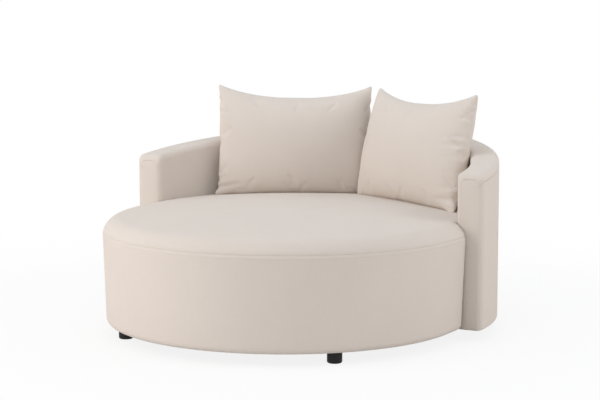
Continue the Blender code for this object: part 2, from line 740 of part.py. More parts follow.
def pillow_zip(name):
    """A closed zip along the curve of the lower edge, filling the slot that the filling goes in by."""
    half = ZIP_SLOT / 2 - CLEAR
    loops = []
    for i in range(ZIP_STEPS + 1):
        x = (ZIP_LENGTH / 2 - CLEAR) * (2 * i / ZIP_STEPS - 1)
        u = x / (PILLOW_WIDTH / 2)
        edge = -PILLOW_HEIGHT / 2 + end_curve(u, PILLOW_BOTTOM_DRAW)
        corners = ((edge, -half), (edge + ZIP_DEPTH, -half), (edge + ZIP_DEPTH, half), (edge, half))
        loops.append([Vector((x, y, z)) for y, z in corners])
    return loft(name, loops, ZIP_CLOTH)


def seat_surface(x, y):
    """Height of the crowned seat top at a place."""
    reach = math.hypot(x, y - SEAT_Y) / (SEAT_RADIUS - SEAT_EDGE_RADIUS)
    return SEAT_RIM_HEIGHT + SEAT_CROWN * (1 - min(1.0, reach) ** 2)


def pillow_matrix(spot):
    """Stands the pillow on its lower edge on the seat, turned, and leaning on the back's top edge."""
    around = math.radians(spot["around"])
    slant = math.radians(spot["lean"])
    rise = back_top(BACK_Y + BACK_INNER_RADIUS * math.sin(around)) - SEAT_RIM_HEIGHT
    thick = PILLOW_DEPTH / 2 / math.cos(slant)
    reach = BACK_INNER_RADIUS - rise * math.tan(slant) - thick - spot["spare"]
    x = reach * math.cos(around)
    y = BACK_Y + reach * math.sin(around)
    stand = Matrix.Translation((x, y, seat_surface(x, y) + spot["lift"]))
    turn = Matrix.Rotation(math.radians(spot["turn"]), 4, "Z")
    lean = Matrix.Rotation(math.pi / 2 - slant, 4, "X")
    roll = Matrix.Rotation(math.radians(spot["roll"]), 4, "Z")
    return stand @ turn @ lean @ roll @ Matrix.Translation((0, PILLOW_HEIGHT / 2, 0))


def build_pillows():
    slot_floor = -PILLOW_HEIGHT / 2 - OVERRUN
    slot_top = -PILLOW_HEIGHT / 2 + PILLOW_BOTTOM_DRAW + PILLOW_SEAM + OVERRUN
    slot_size = (ZIP_LENGTH, slot_top - slot_floor, ZIP_SLOT)
    slot_middle = (0, (slot_top + slot_floor) / 2, 0)
    for side, spot in PILLOW_PLACES.items():
        stand = pillow_matrix(spot)
        cover = pillow_solid("pillow_cover_" + side, 0, PILLOW_DEPTH, UPHOLSTERY)
        hollow = pillow_solid(
            "pillow_hollow_" + side, PILLOW_SEAM, PILLOW_DEPTH - 2 * PILLOW_FABRIC, WADDING
        )
        slot = block("pillow_slot_" + side, slot_size, slot_middle, WADDING)
        for tool in (hollow, slot):
            tool.hide_render = True
            tool.display_type = "WIRE"
            drill(cover, tool)
        filling = pillow_solid(
            "pillow_filling_" + side, PILLOW_SEAM + SOFT_CLEAR,
            PILLOW_DEPTH - 2 * (PILLOW_FABRIC + SOFT_CLEAR), WADDING,
        )
        zip_strip = pillow_zip("pillow_zip_" + side)
        for piece in (cover, hollow, slot, filling, zip_strip):
            piece.matrix_world = stand


ring_inset = build_seat()
seat_post_objects = build_seat_posts(ring_inset)
build_webbing()
inside_cover = build_back_covers()
back_layers, back_post_objects = build_back_frame()
build_feet()
crossed = [bpy.data.objects[name] for name in ("seat_side_board", "seat_side_padding", "seat_border_cover")]
build_bolts(seat_post_objects, back_post_objects, crossed + [inside_cover] + back_layers)
build_pillows()
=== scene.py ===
"""Round sofa in a pale studio: how each piece looks, on the frame that carries it.

Metres, +Z up, front towards -Y. Every piece stands where its CAD node stands.
"""

import math

import bmesh
import bpy
import numpy as np
from mathutils import Matrix, Vector, noise


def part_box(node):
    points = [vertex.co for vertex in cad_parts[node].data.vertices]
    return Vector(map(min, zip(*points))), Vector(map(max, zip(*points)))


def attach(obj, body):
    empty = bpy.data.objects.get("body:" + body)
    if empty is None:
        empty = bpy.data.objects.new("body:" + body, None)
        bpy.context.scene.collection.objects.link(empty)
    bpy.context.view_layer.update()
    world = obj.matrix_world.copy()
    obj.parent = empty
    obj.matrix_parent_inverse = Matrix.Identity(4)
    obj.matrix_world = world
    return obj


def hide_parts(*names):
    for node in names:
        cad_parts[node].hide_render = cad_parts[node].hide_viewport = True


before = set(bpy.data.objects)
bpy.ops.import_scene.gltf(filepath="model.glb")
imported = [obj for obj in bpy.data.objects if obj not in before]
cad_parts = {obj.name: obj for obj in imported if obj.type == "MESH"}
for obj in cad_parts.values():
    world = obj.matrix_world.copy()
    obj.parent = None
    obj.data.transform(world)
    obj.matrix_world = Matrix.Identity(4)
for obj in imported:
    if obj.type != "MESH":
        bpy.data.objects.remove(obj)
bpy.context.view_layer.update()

# Camera: at the photograph's viewpoint, a little to the right of the sofa's front and above it,
# with a long lens.

LOOK_DOWN = 7.197  # degrees
LOOK_ROUND = 28.757  # degrees


def new_object(name, data):
    """An object at the origin for a mesh, a lamp or a camera."""
    made = bpy.data.objects.new(name, data)
    bpy.context.scene.collection.objects.link(made)
    return made


camera_data = bpy.data.cameras.new("camera")
camera_data.lens = 108
camera_data.sensor_width = 36
camera = new_object("camera", camera_data)
camera.location = (3.0499, -5.5408, 1.2493)
camera.rotation_euler = (math.radians(90 - LOOK_DOWN), 0, math.radians(LOOK_ROUND))
bpy.context.scene.camera = camera

# Timber posts: eleven sawn softwood blocks that stand between the plywood rings of the seat and
# the rails of the back. They are glued and screwed, and never seen. Their grain runs upright.


def new_finish(name, roughness, metallic=0.0):
    """A material, its node tree and its shader."""
    made = bpy.data.materials.new(name)
    made.use_nodes = True
    shader = made.node_tree.nodes["Principled BSDF"]
    shader.inputs["Roughness"].default_value = roughness
    shader.inputs["Metallic"].default_value = metallic
    return made, made.node_tree, shader


def feed(socket, value):
    """Sets a socket's value, or links another node's output to it."""
    if isinstance(value, bpy.types.NodeSocket):
        socket.id_data.links.new(value, socket)
    else:
        socket.default_value = value


def node_of(tree, kind, sockets, **settings):
    """A node of this kind with its settings, and what goes into its sockets by name or number."""
    node = tree.nodes.new(kind)
    for setting, value in settings.items():
        setattr(node, setting, value)
    for socket, value in sockets.items():
        feed(node.inputs[socket], value)
    return node


def sum_of(tree, operation, *values, clamp=False):
    """One step of arithmetic."""
    sockets = dict(enumerate(values))
    return node_of(tree, "ShaderNodeMath", sockets, operation=operation, use_clamp=clamp).outputs[0]


def mixed(tree, share, one, two):
    """This share of one pattern, and the rest of the other."""
    rest = sum_of(tree, "MULTIPLY", two, 1 - share)
    return sum_of(tree, "ADD", sum_of(tree, "MULTIPLY", one, share), rest)


def object_place(tree):
    return tree.nodes.new("ShaderNodeTexCoord").outputs["Object"]


def stretched(tree, vector, scale):
    return node_of(tree, "ShaderNodeMapping", {"Vector": vector, "Scale": scale}).outputs[0]


def noise_of(tree, vector, scale, detail=2.0):
    sockets = {"Vector": vector, "Scale": scale, "Detail": detail}
    return node_of(tree, "ShaderNodeTexNoise", sockets).outputs[0]


def blend_of(tree, share, one, two):
    return node_of(tree, "ShaderNodeMix", {0: share, 6: one, 7: two}, data_type="RGBA").outputs[2]


def colour(tree, shader, pattern, low, high):
    """Colours a finish between two colours by a pattern."""
    feed(shader.inputs["Base Color"], blend_of(tree, pattern, (*low, 1), (*high, 1)))


def relief(tree, shader, pattern, height, strength=1.0):
    """Raises a pattern on a finish by this height."""
    sockets = {"Height": pattern, "Distance": height, "Strength": strength}
    feed(shader.inputs["Normal"], node_of(tree, "ShaderNodeBump", sockets).outputs[0])


def dress(material, *starts):
    """Gives a finish to every CAD node whose name starts with one of these."""
    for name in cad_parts:
        if name.startswith(starts):
            for slot in bpy.data.objects[name].material_slots:
                slot.material = material


timber, tree, shader = new_finish("timber_grain", 0.65)
grain = noise_of(tree, stretched(tree, object_place(tree), (38, 38, 3)), 1.0, 6.0)
rings = sum_of(tree, "PINGPONG", sum_of(tree, "MULTIPLY", grain, 9.0), 1.0)
share = mixed(tree, 0.7, rings, grain)
colour(tree, shader, share, (0.56, 0.38, 0.20), (0.72, 0.55, 0.35))
relief(tree, shader, share, 0.0003, 0.6)
dress(timber, "seat_post_", "back_post_")

# Plywood: the two rings of the seat, the two rails of the back and a board in each arm's end,
# sawn from birch sheet. The thin layers show on their edges.

LAYERS_PER_METRE = 700.0

plywood, tree, shader = new_finish("plywood_layers", 0.6)
place = object_place(tree)
grain = noise_of(tree, stretched(tree, place, (6, 60, 60)), 1.0, 5.0)
upright = node_of(tree, "ShaderNodeSeparateXYZ", {0: place}).outputs["Z"]
layers = sum_of(tree, "PINGPONG", sum_of(tree, "MULTIPLY", upright, LAYERS_PER_METRE), 1.0)
share = mixed(tree, 0.55, layers, grain)
colour(tree, shader, share, (0.42, 0.27, 0.14), (0.70, 0.54, 0.36))
relief(tree, shader, share, 0.0002, 0.5)
dress(plywood, "seat_bottom_ring", "seat_top_ring", "back_bottom_rail", "back_top_rail")
dress(plywood, "arm_end_board_")

# Bent boards: thin brown hardboard, bent round the frames and stapled, so that the padding has
# a smooth curve to lie on.

hardboard, tree, shader = new_finish("bent_hardboard", 0.55)
fibres = noise_of(tree, object_place(tree), 420, 4.0)
colour(tree, shader, fibres, (0.22, 0.13, 0.07), (0.42, 0.28, 0.16))
relief(tree, shader, fibres, 0.0002, 0.5)
dress(hardboard, "seat_side_board", "back_inside_board", "back_outside_board")

# Bolts and foot studs: zinc-plated steel. Four bolts run outwards through the seat's rear posts
# into the back's, and a threaded stud holds each foot.

zinc, tree, shader = new_finish("zinc_plate", 0.34, 1.0)
spangle = noise_of(tree, object_place(tree), 160, 3.0)
colour(tree, shader, spangle, (0.50, 0.50, 0.48), (0.72, 0.72, 0.70))
feed(shader.inputs["Roughness"], sum_of(tree, "MULTIPLY_ADD", spangle, 0.2, 0.24))
dress(zinc, "back_bolt_", "foot_stud_")

# Webbing: eight elastic straps woven over and under each other and stapled to the seat's top
# ring. They carry the foam. Black, with a coarse plain weave.

THREAD_WANDER = 0.0012
CROSSING_DIP = 0.45
UNEVEN = (0.9, 0.035, 1)


def add_sockets(tree, in_out, *sockets):
    """Named sockets for a node group: name, kind and, where it has one, its first value."""
    for name, kind, *value in sockets:
        made = tree.interface.new_socket(name, in_out=in_out, socket_type="NodeSocket" + kind)
        if value:
            made.default_value = value[0]


def woven_cloth_group():
    """A plain weave on a cloth's own flat metres: its colour, with painted shade between the threads,
    its height and its roughness.
    """
    group = bpy.data.node_groups.new("woven_cloth", "ShaderNodeTree")
    add_sockets(
        group, "INPUT", ("Cloth", "Vector", (0, 0, 0)), ("Threads per metre", "Float", 700.0),
        ("Thread", "Color", (0.8, 0.8, 0.8, 1)), ("Gap", "Color", (0.6, 0.6, 0.6, 1)),
        ("Slub", "Float", 0.5),
    )
    add_sockets(group, "OUTPUT", ("Colour", "Color"), ("Height", "Float"), ("Roughness", "Float"))
    given = group.nodes.new("NodeGroupInput").outputs
    result = group.nodes.new("NodeGroupOutput").inputs

    def step(operation, *values, clamp=False):
        return sum_of(group, operation, *values, clamp=clamp)

    def vector_step(operation, sockets):
        return node_of(group, "ShaderNodeVectorMath", sockets, operation=operation).outputs[0]

    sockets = {"Vector": given["Cloth"], "Scale": 55, "Detail": 2}
    wander = node_of(group, "ShaderNodeTexNoise", sockets).outputs[1]
    centred = vector_step("SUBTRACT", {0: wander, 1: (0.5, 0.5, 0.5)})
    reach = (THREAD_WANDER, THREAD_WANDER, 0)
    shifted = vector_step("MULTIPLY_ADD", {0: centred, 1: reach, 2: given["Cloth"]})
    threads = vector_step("SCALE", {0: shifted, "Scale": given["Threads per metre"]})
    ways = node_of(group, "ShaderNodeSeparateXYZ", {0: threads}).outputs[:2]

    warp, weft = [step("SINE", step("MULTIPLY", step("FRACT", way), math.pi)) for way in ways]
    cell = step("ADD", *[step("FLOOR", way) for way in ways])
    warp_up = step("MULTIPLY", step("FRACT", step("MULTIPLY", cell, 0.5)), 2.0)
    weft_up = step("SUBTRACT", 1.0, warp_up)

    def on_top(of_warp, of_weft):
        """The warp's value where the warp lies on top, and the weft's elsewhere."""
        return step("ADD", step("MULTIPLY", of_warp, warp_up), step("MULTIPLY", of_weft, weft_up))

    height = on_top(*[
        step("MULTIPLY", one, step("MULTIPLY_ADD", other, CROSSING_DIP, 1 - CROSSING_DIP))
        for one, other in ((warp, weft), (weft, warp))
    ])
    thick = on_top(*[
        noise_of(group, stretched(group, threads, scale), 1.0)
        for scale in (UNEVEN, (UNEVEN[1], UNEVEN[0], 1))
    ])
    slub = step("MULTIPLY", step("SUBTRACT", thick, 0.5), given["Slub"])
    feed(result["Height"], step("MULTIPLY", height, step("MULTIPLY_ADD", slub, 1.6, 1.0)))
    # Painted shade: the colour darkens towards the gap colour where the threads dip under each other,
    # and is the thread colour on their tops.
    lit = step("MULTIPLY_ADD", height, 0.8, 0.2, clamp=True)
    base = blend_of(group, lit, given["Gap"], given["Thread"])
    cloudy = noise_of(group, given["Cloth"], 4.5, 3.0)
    shade = step("MULTIPLY_ADD", step("SUBTRACT", cloudy, 0.5), 0.05, 1.0)
    shade = step("ADD", shade, step("MULTIPLY", slub, 0.30))
    feed(result["Colour"], vector_step("SCALE", {0: base, "Scale": shade}))
    feed(result["Roughness"], step("MULTIPLY_ADD", height, -0.10, 0.96))
    return group


WOVEN_CLOTH = woven_cloth_group()


def cloth_finish(name, threads, thread, gap_shade, slub, depth, by_uv=True):
    """A woven cloth, by its own UV metres, or by Object coordinates where it lies flat; its gap colour
    is painted shade between the threads.
    """
    made, tree, shader = new_finish(name, 0.9)
    if by_uv:
        cloth = node_of(tree, "ShaderNodeUVMap", {}, uv_map="cloth").outputs["UV"]
    else:
        cloth = object_place(tree)
    sockets = {"Cloth": cloth, "Threads per metre": threads, "Slub": slub}
    sockets |= {"Thread": (*thread, 1), "Gap": (*gap_shade, 1)}
    weave = node_of(tree, "ShaderNodeGroup", sockets, node_tree=WOVEN_CLOTH).outputs
    feed(shader.inputs["Base Color"], weave["Colour"])
    feed(shader.inputs["Roughness"], weave["Roughness"])
    relief(tree, shader, weave["Height"], depth)
    return made


# Its darker gap colour is painted shade between the threads.
webbing = cloth_finish(
    "webbing_weave", 420.0, (0.030, 0.030, 0.033), (0.008, 0.008, 0.009), 0.4, 0.0006, by_uv=False
)
dress(webbing, "seat_webbing_")

# Foam and padding: a thick block of foam over the webbing, and thinner foam over the bent boards,
# the back's top and the arms' ends. It is cut to shape, glued on, and squeezed by the cloth.

CUT_EDGE = 0.0015
SQUEEZE = 0.0010
SAME_POINT = 0.00002
FLAT_TURN = math.radians(0.6)
CUT_TURN = math.radians(35)
SHARP_TURN = math.radians(50)

foam, tree, shader = new_finish("open_cell_foam", 0.95)
place = object_place(tree)
cells = node_of(tree, "ShaderNodeTexVoronoi", {"Vector": place, "Scale": 520})
pore_pits_and_shade = sum_of(tree, "MULTIPLY", cells.outputs["Distance"], 1.6, clamp=True)
aged = noise_of(tree, place, 7, 3.0)
# The colour is painted shade in the pores, darker in the open cells, mixed with a random tone of aged
# foam.
colour(tree, shader, mixed(tree, 0.6, pore_pits_and_shade, aged), (0.70, 0.63, 0.40), (0.86, 0.82, 0.63))
relief(tree, shader, pore_pits_and_shade, 0.0004, 0.7)


def mesh_from(name, mesh_bm):
    """A mesh of what has been built up in mesh_bm, which is then let go."""
    mesh = bpy.data.meshes.new(name)
    mesh_bm.to_mesh(mesh)
    mesh_bm.free()
    return mesh


for name, node in (
    ("seat_foam_block", "seat_foam_core"),
    ("seat_side_foam", "seat_side_padding"),
    ("back_inside_foam", "back_inside_padding"),
    ("back_outside_foam", "back_outside_padding"),
    ("arm_end_foam_left", "arm_end_padding_left"),
    ("arm_end_foam_right", "arm_end_padding_right"),
):
    source = bpy.data.objects[node]
    mesh_bm = bmesh.new()
    mesh_bm.from_mesh(source.data)
    mesh_bm.transform(source.matrix_world)
    bmesh.ops.remove_doubles(mesh_bm, verts=mesh_bm.verts, dist=SAME_POINT)
    bmesh.ops.dissolve_limit(
        mesh_bm, angle_limit=FLAT_TURN, verts=mesh_bm.verts, edges=mesh_bm.edges
    )
    cut = [edge for edge in mesh_bm.edges if edge.is_manifold and edge.calc_face_angle() > CUT_TURN]
    bmesh.ops.bevel(
        mesh_bm, geom=cut, offset=CUT_EDGE, segments=2, profile=0.5, affect="EDGES", clamp_overlap=True
    )
    mesh_bm.normal_update()
    for vert in mesh_bm.verts:
        vert.co -= vert.normal * SQUEEZE
    bmesh.ops.triangulate(mesh_bm, faces=[face for face in mesh_bm.faces if len(face.verts) > 4])
    mesh = mesh_from(name, mesh_bm)
    mesh.shade_smooth()
    mesh.set_sharp_from_angle(angle=SHARP_TURN)
    mesh.materials.append(foam)
    pad = new_object(name, mesh)
    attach(pad, "sofa")
    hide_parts(node)

# Upholstery: one plain-woven beige cloth, matte, with slightly uneven threads, over the whole
# sofa and the pillows. It is cut in panels, sewn, and pulled tight over the foam.

FABRIC_THREADS = 620.0
FABRIC_THREAD = (0.718, 0.642, 0.577)
# The darker gap colour is painted shade between the threads.
FABRIC_GAP_SHADE = (0.651, 0.575, 0.509)

upholstery = cloth_finish(
    "upholstery_weave", FABRIC_THREADS, FABRIC_THREAD, FABRIC_GAP_SHADE, 0.40, 0.00022
)
shader = upholstery.node_tree.nodes["Principled BSDF"]
shader.inputs["Sheen Weight"].default_value = 0.12
shader.inputs["Sheen Roughness"].default_value = 0.6
shader.inputs["Sheen Tint"].default_value = (1.0, 0.96, 0.92, 1)
shader.inputs["Specular IOR Level"].default_value = 0.25

# Seat side cover: a band of cloth round the drum, sewn to the top cover just under its rounded
# edge, topstitched 14 mm lower, pulled down over the side padding and stapled underneath.

DRUM_RADIUS = 0.640
DRUM_LINE = -0.084
BACK_LINE = 0.026
DRUM_REAR_RADIUS = 0.5974
WALL_GAP = 0.0006
STEP_CORNER = 0.010
STEP_SHARE = 0.45
TOP_EDGE = 0.066
EDGE_FLOOR = 0.344
SEAM_HEIGHT = 0.361
DRUM_FLOOR = 0.040
DRUM_MIDDLE = 0.22
BOTTOM_EDGE = 0.020
DRUM_TAPER = 0.010
CLOTH_TUCK = 0.030
TOPSTITCH_DROP = 0.014
CLOTH = 0.0022
SEAM_DIP = (0.0014, 0.0024)
TOPSTITCH_DIP = (0.0004, 0.0020)
LIP_INSETS = (0.0075, 0.0055)
LIP_RUN = 0.004
SIDE_LIP = -0.0006
ROW_STEP = 0.010
SWELL = 0.0005
LOW_SWELL = 0.0004
SLACK = 0.0007
GATHER = 0.0010
GATHER_HEIGHT = 0.022
GATHER_PITCH = 210
STILL_END = 0.02
FRONT_POINTS = 150
SIDE_POINTS = 14
CORNER_POINTS = 8
STEP_POINTS = 6
REAR_POINTS = 100

SEAM_TURN = math.asin((SEAM_HEIGHT - EDGE_FLOOR) / TOP_EDGE)


def quarter(steps):
    """The angles of a quarter turn in equal steps."""
    return [math.pi / 2 * i / steps for i in range(steps + 1)]


def drum_outline(front_inset, rear_inset):
    """The drum from above: round front, straight sides, a step in at the arms, and a round rear."""
    front = DRUM_RADIUS - front_inset
    rear = DRUM_REAR_RADIUS - rear_inset
    step = BACK_LINE - WALL_GAP - rear_inset
    wall = math.sqrt(rear**2 - (step - BACK_LINE) ** 2)
    corner = max(0.0, min(STEP_CORNER, STEP_SHARE * (front - wall)))
    half = []
    for i in range(FRONT_POINTS):
        turn = math.pi / 2 * (i / FRONT_POINTS - 1)
        half.append((front * math.cos(turn), DRUM_LINE + front * math.sin(turn)))
    for i in range(SIDE_POINTS):
        half.append((front, DRUM_LINE + (step - corner - DRUM_LINE) * i / SIDE_POINTS))
    for turn in quarter(CORNER_POINTS)[:-1]:
        half.append((front - corner * (1 - math.cos(turn)), step - corner * (1 - math.sin(turn))))
    for i in range(STEP_POINTS):
        half.append((front - corner + (wall - front + corner) * i / STEP_POINTS, step))
    start = math.asin((step - BACK_LINE) / rear)
    for i in range(REAR_POINTS + 1):
        turn = start + (math.pi / 2 - start) * i / REAR_POINTS
        half.append((rear * math.cos(turn), BACK_LINE + rear * math.sin(turn)))
    return half + [(-x, y) for x, y in half[-2:0:-1]]


def dip(distance, depth, width):
    """How far a seam or a line of stitches pulls the cloth in at this distance from it."""
    return depth * math.exp(-((distance / width) ** 2))


def skin(name, rows, flat, inside, closed=True, pole=None):
    """A cloth through rows of points.

    flat gives the UV metres of a row and a column, and inside gives a point behind a face.
    """
    across = len(rows[0])
    points = [p for row in rows for p in row]
    faces = []
    corners = []
    for r in range(len(rows) - 1):
        for i in range(across if closed else across - 1):
            ring = [(r, i), (r, i + 1), (r + 1, i + 1), (r + 1, i)]
            faces.append([row * across + column % across for row, column in ring])
            corners += ring
    if pole is not None:
        points.append(pole)
        last = len(rows) - 1
        for i in range(across):
            faces.append((last * across + i, last * across + (i + 1) % across, len(points) - 1))
            corners += [(last, i), (last, i + 1), (last + 1, i)]
    mesh = bpy.data.meshes.new(name)
    mesh.from_pydata(points, [], faces)
    layer = mesh.uv_layers.new(name="cloth")
    places = {place: flat(*place) for place in set(corners)}
    layer.uv.foreach_set("vector", [c for place in corners for c in places[place]])
    mesh.update()
    facing = sum((f.center - inside(f.center)).dot(f.normal) * f.area for f in mesh.polygons)
    if facing < 0:
        mesh.flip_normals()
    mesh.shade_smooth()
    return new_object(name, mesh)


def lined(piece, thickness):
    """Gives a cloth its thickness, inwards from its face."""
    solid = piece.modifiers.new("thickness", "SOLIDIFY")
    solid.thickness = thickness
    solid.offset = -1


def sofa_cover(cover, node):
    """Makes a panel of the sofa's cloth, in the place of its CAD node."""
    lined(cover, CLOTH)
    cover.data.materials.append(upholstery)
    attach(cover, "sofa")
    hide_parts(node)


def path_lengths(points):
    """How far round a closed line each point lies."""
    lengths = [0.0]
    for one, two in zip(points, points[1:] + points[:1]):
        lengths.append(lengths[-1] + math.dist(one, two))
    return lengths


def drum_middle(point):
    return Vector((point.x * 0.5, DRUM_LINE + (point.y - DRUM_LINE) * 0.5, DRUM_MIDDLE))


def seam_lip(rise):
    """The edge of a panel, turned in under the drum's seam."""
    return [Vector((x, y, SEAM_HEIGHT + rise)) for x, y in drum_outline(*LIP_INSETS)]


side_arc = SEAM_TURN * TOP_EDGE
side_straight = EDGE_FLOOR - DRUM_FLOOR - BOTTOM_EDGE
side_bend = BOTTOM_EDGE * math.pi / 2
side_end = side_arc + side_straight


def side_profile(run):
    """Inset, height and outward tilt of the side cover at this run down from the seam."""
    if run < side_arc:
        tilt = SEAM_TURN - run / TOP_EDGE
        inset = TOP_EDGE * (1 - math.cos(tilt))
        height = EDGE_FLOOR + TOP_EDGE * math.sin(tilt)
    elif run < side_end:
        inset, height, tilt = 0.0, EDGE_FLOOR - (run - side_arc), 0.0
    elif run < side_end + side_bend:
        tilt = -(run - side_end) / BOTTOM_EDGE
        inset = BOTTOM_EDGE * (1 - math.cos(tilt))
        height = DRUM_FLOOR + BOTTOM_EDGE * (1 + math.sin(tilt))
    else:
        inset = BOTTOM_EDGE + run - side_end - side_bend
        height, tilt = DRUM_FLOOR, -math.pi / 2
    inset += DRUM_TAPER * max(0.0, SEAM_HEIGHT - height) / (SEAM_HEIGHT - DRUM_FLOOR)
    return inset, height, tilt


side_runs = [0, 0.0006, 0.0014, 0.0026, 0.0045, 0.007, 0.0095, 0.0115, 0.0127, 0.0135]
side_runs += [TOPSTITCH_DROP, 0.0145, 0.0153, 0.0165, 0.0185, 0.0215, 0.026, 0.032, 0.040]
while side_runs[-1] < side_end - 1.2 * ROW_STEP:
    side_runs.append(side_runs[-1] + ROW_STEP)
side_runs += [side_end + side_bend * i / 6 for i in range(7)]
side_runs += [side_end + side_bend + CLOTH_TUCK * share for share in (0.2, 0.5, 1.0)]
outline_run = path_lengths(drum_outline(0, 0))
side_rows = [seam_lip(SIDE_LIP)]
for run in side_runs:
    inset, height, tilt = side_profile(run)
    below = run - TOPSTITCH_DROP
    seam = dip(run, *SEAM_DIP) + dip(below, *TOPSTITCH_DIP)
    swell = SWELL * math.sin(math.pi * min(1.0, run / TOPSTITCH_DROP))
    if below > 0:
        swell = LOW_SWELL * (1 - math.exp(-below / 0.003)) * math.exp(-below / 0.02)
    gather = GATHER * math.exp(-max(0.0, height - DRUM_FLOOR - 0.004) / GATHER_HEIGHT)
    rear_inset = inset if run > side_arc else 0.0
    row = []
    for along, (x, y) in zip(outline_run, drum_outline(inset + seam - swell, rear_inset + seam)):
        angle = math.atan2(y - DRUM_LINE, x)
        out_x, out_y = math.cos(angle), math.sin(angle)
        wave = 0.0
        if y <= BACK_LINE - STILL_END:
            wave = SLACK * noise.noise(Vector((out_x * 3.1, out_y * 3.1, height * 4)))
            strength = 0.35 + 0.65 * noise.noise(Vector((along * 2.3, 0.7, 4.0)))
            drift = 5 * noise.noise(Vector((along * 9, 3.0, 0)))
            wave += gather * strength * math.sin(along * GATHER_PITCH + drift)
        if tilt < 0:
            wave *= math.cos(tilt)
        row.append(Vector((x + wave * out_x, y + wave * out_y, height)))
    side_rows.append(row)
runs = [-LIP_RUN] + side_runs
side_cover = skin(
    "seat_side_cover", side_rows, lambda r, i: (outline_run[i], -runs[r]), drum_middle
)
sofa_cover(side_cover, "seat_border_cover")

# Seat top cover: a round panel over the foam's rounded edge and slight crown, sewn all round to
# the side cover. Inside the back it stands up against the back's wall.

TOP_END_TURN = math.radians(84)
CROWN = 0.0302
REAR_CUT_OFF = 0.0406
TOP_LIP = 0.0004
TOP_SWELL = 0.0006
TOP_SWELL_RUN = 0.012
TOP_SWELL_WIDTH = 0.008
TOP_SLACK = 0.0007
TOP_RINGS = 36

top_arc = TOP_EDGE * (TOP_END_TURN - SEAM_TURN)
top_runs = [0, 0.0006, 0.0014, 0.0026, 0.0045, 0.007, 0.011, 0.016, 0.022, 0.029, 0.037, 0.045]
top_runs += [0.053, 0.061, 0.069, top_arc]
rows = [seam_lip(TOP_LIP)]
for run in top_runs:
    turn = SEAM_TURN + run / TOP_EDGE
    inset = TOP_EDGE * (1 - math.cos(turn))
    height = EDGE_FLOOR + TOP_EDGE * math.sin(turn)
    seam = dip(run, *SEAM_DIP)
    swell = dip(run - TOP_SWELL_RUN, TOP_SWELL, TOP_SWELL_WIDTH)
    rear = max(0.0, inset - REAR_CUT_OFF)
    outline = drum_outline(inset + (seam - swell) * math.cos(turn), rear + seam)
    rows.append([Vector((x, y, height + swell * math.sin(turn))) for x, y in outline])
rim = rows[-1]
for i in range(1, TOP_RINGS):
    share = 1 - i / TOP_RINGS
    row = []
    for p in rim:
        x, y = p.x * share, DRUM_LINE + (p.y - DRUM_LINE) * share
        soft = TOP_SLACK * noise.noise(Vector((x * 5, y * 5, 1.7))) * (1 - share**8)
        row.append(Vector((x, y, p.z + CROWN * (1 - share * share) + soft)))
    rows.append(row)
top_reach = []
for i in range(len(rim)):
    column = [row[i] for row in rows]
    reach = [(column[-1] - Vector((0, DRUM_LINE, column[-1].z))).length]
    for one, two in zip(column[::-1], column[-2::-1]):
        reach.append(reach[-1] + (two - one).length)
    top_reach.append(reach[::-1])


def top_flat(r, i):
    """A place of the top cover as if it lay flat, from its middle."""
    column = i % len(rim)
    if r == len(rows):
        return 0.0, 0.0
    away = Vector((rows[r][column].x, rows[r][column].y - DRUM_LINE)).normalized()
    return away.x * top_reach[column][r], away.y * top_reach[column][r]


peak = Vector((0, DRUM_LINE, rim[0].z + CROWN))
sofa_cover(skin("seat_top_panel", rows, top_flat, drum_middle, pole=peak), "seat_top_cover")

# Dust cloths: thin black non-woven cloth, cut to the underside of the seat and of the back, and
# stapled to the plywood all round. The seat's hangs a little in the middle.

BACK_INNER = 0.598
BACK_OUTER = 0.698
DUST_CLOTH = 0.0009
DUST_FACE = 0.0396
DUST_INSET = 0.038
DUST_SAG = 0.0045
DUST_STAPLED = 0.88
DUST_RIPPLE = 0.0005
DUST_RINGS = 24
BACK_DUST_INSET = 0.014
BACK_DUST_SAG = 0.0006
BACK_DUST_ROWS = 6
BACK_DUST_COLUMNS = 120

# Its darker gap colour is painted shade between the threads.
dust = cloth_finish(
    "dust_cloth_fibres", 900.0, (0.016, 0.016, 0.017), (0.008, 0.008, 0.008), 0.8, 0.0002, by_uv=False
)


def dust_sheet(name, rows, node, closed, pole=None):
    """A thin sheet, stapled up."""
    piece = skin(
        name, rows, lambda r, i: (0.0, 0.0), lambda p: Vector((p.x, p.y, 1.0)), closed=closed, pole=pole
    )
    lined(piece, DUST_CLOTH)
    piece.data.materials.append(dust)
    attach(piece, "sofa")
    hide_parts(node)


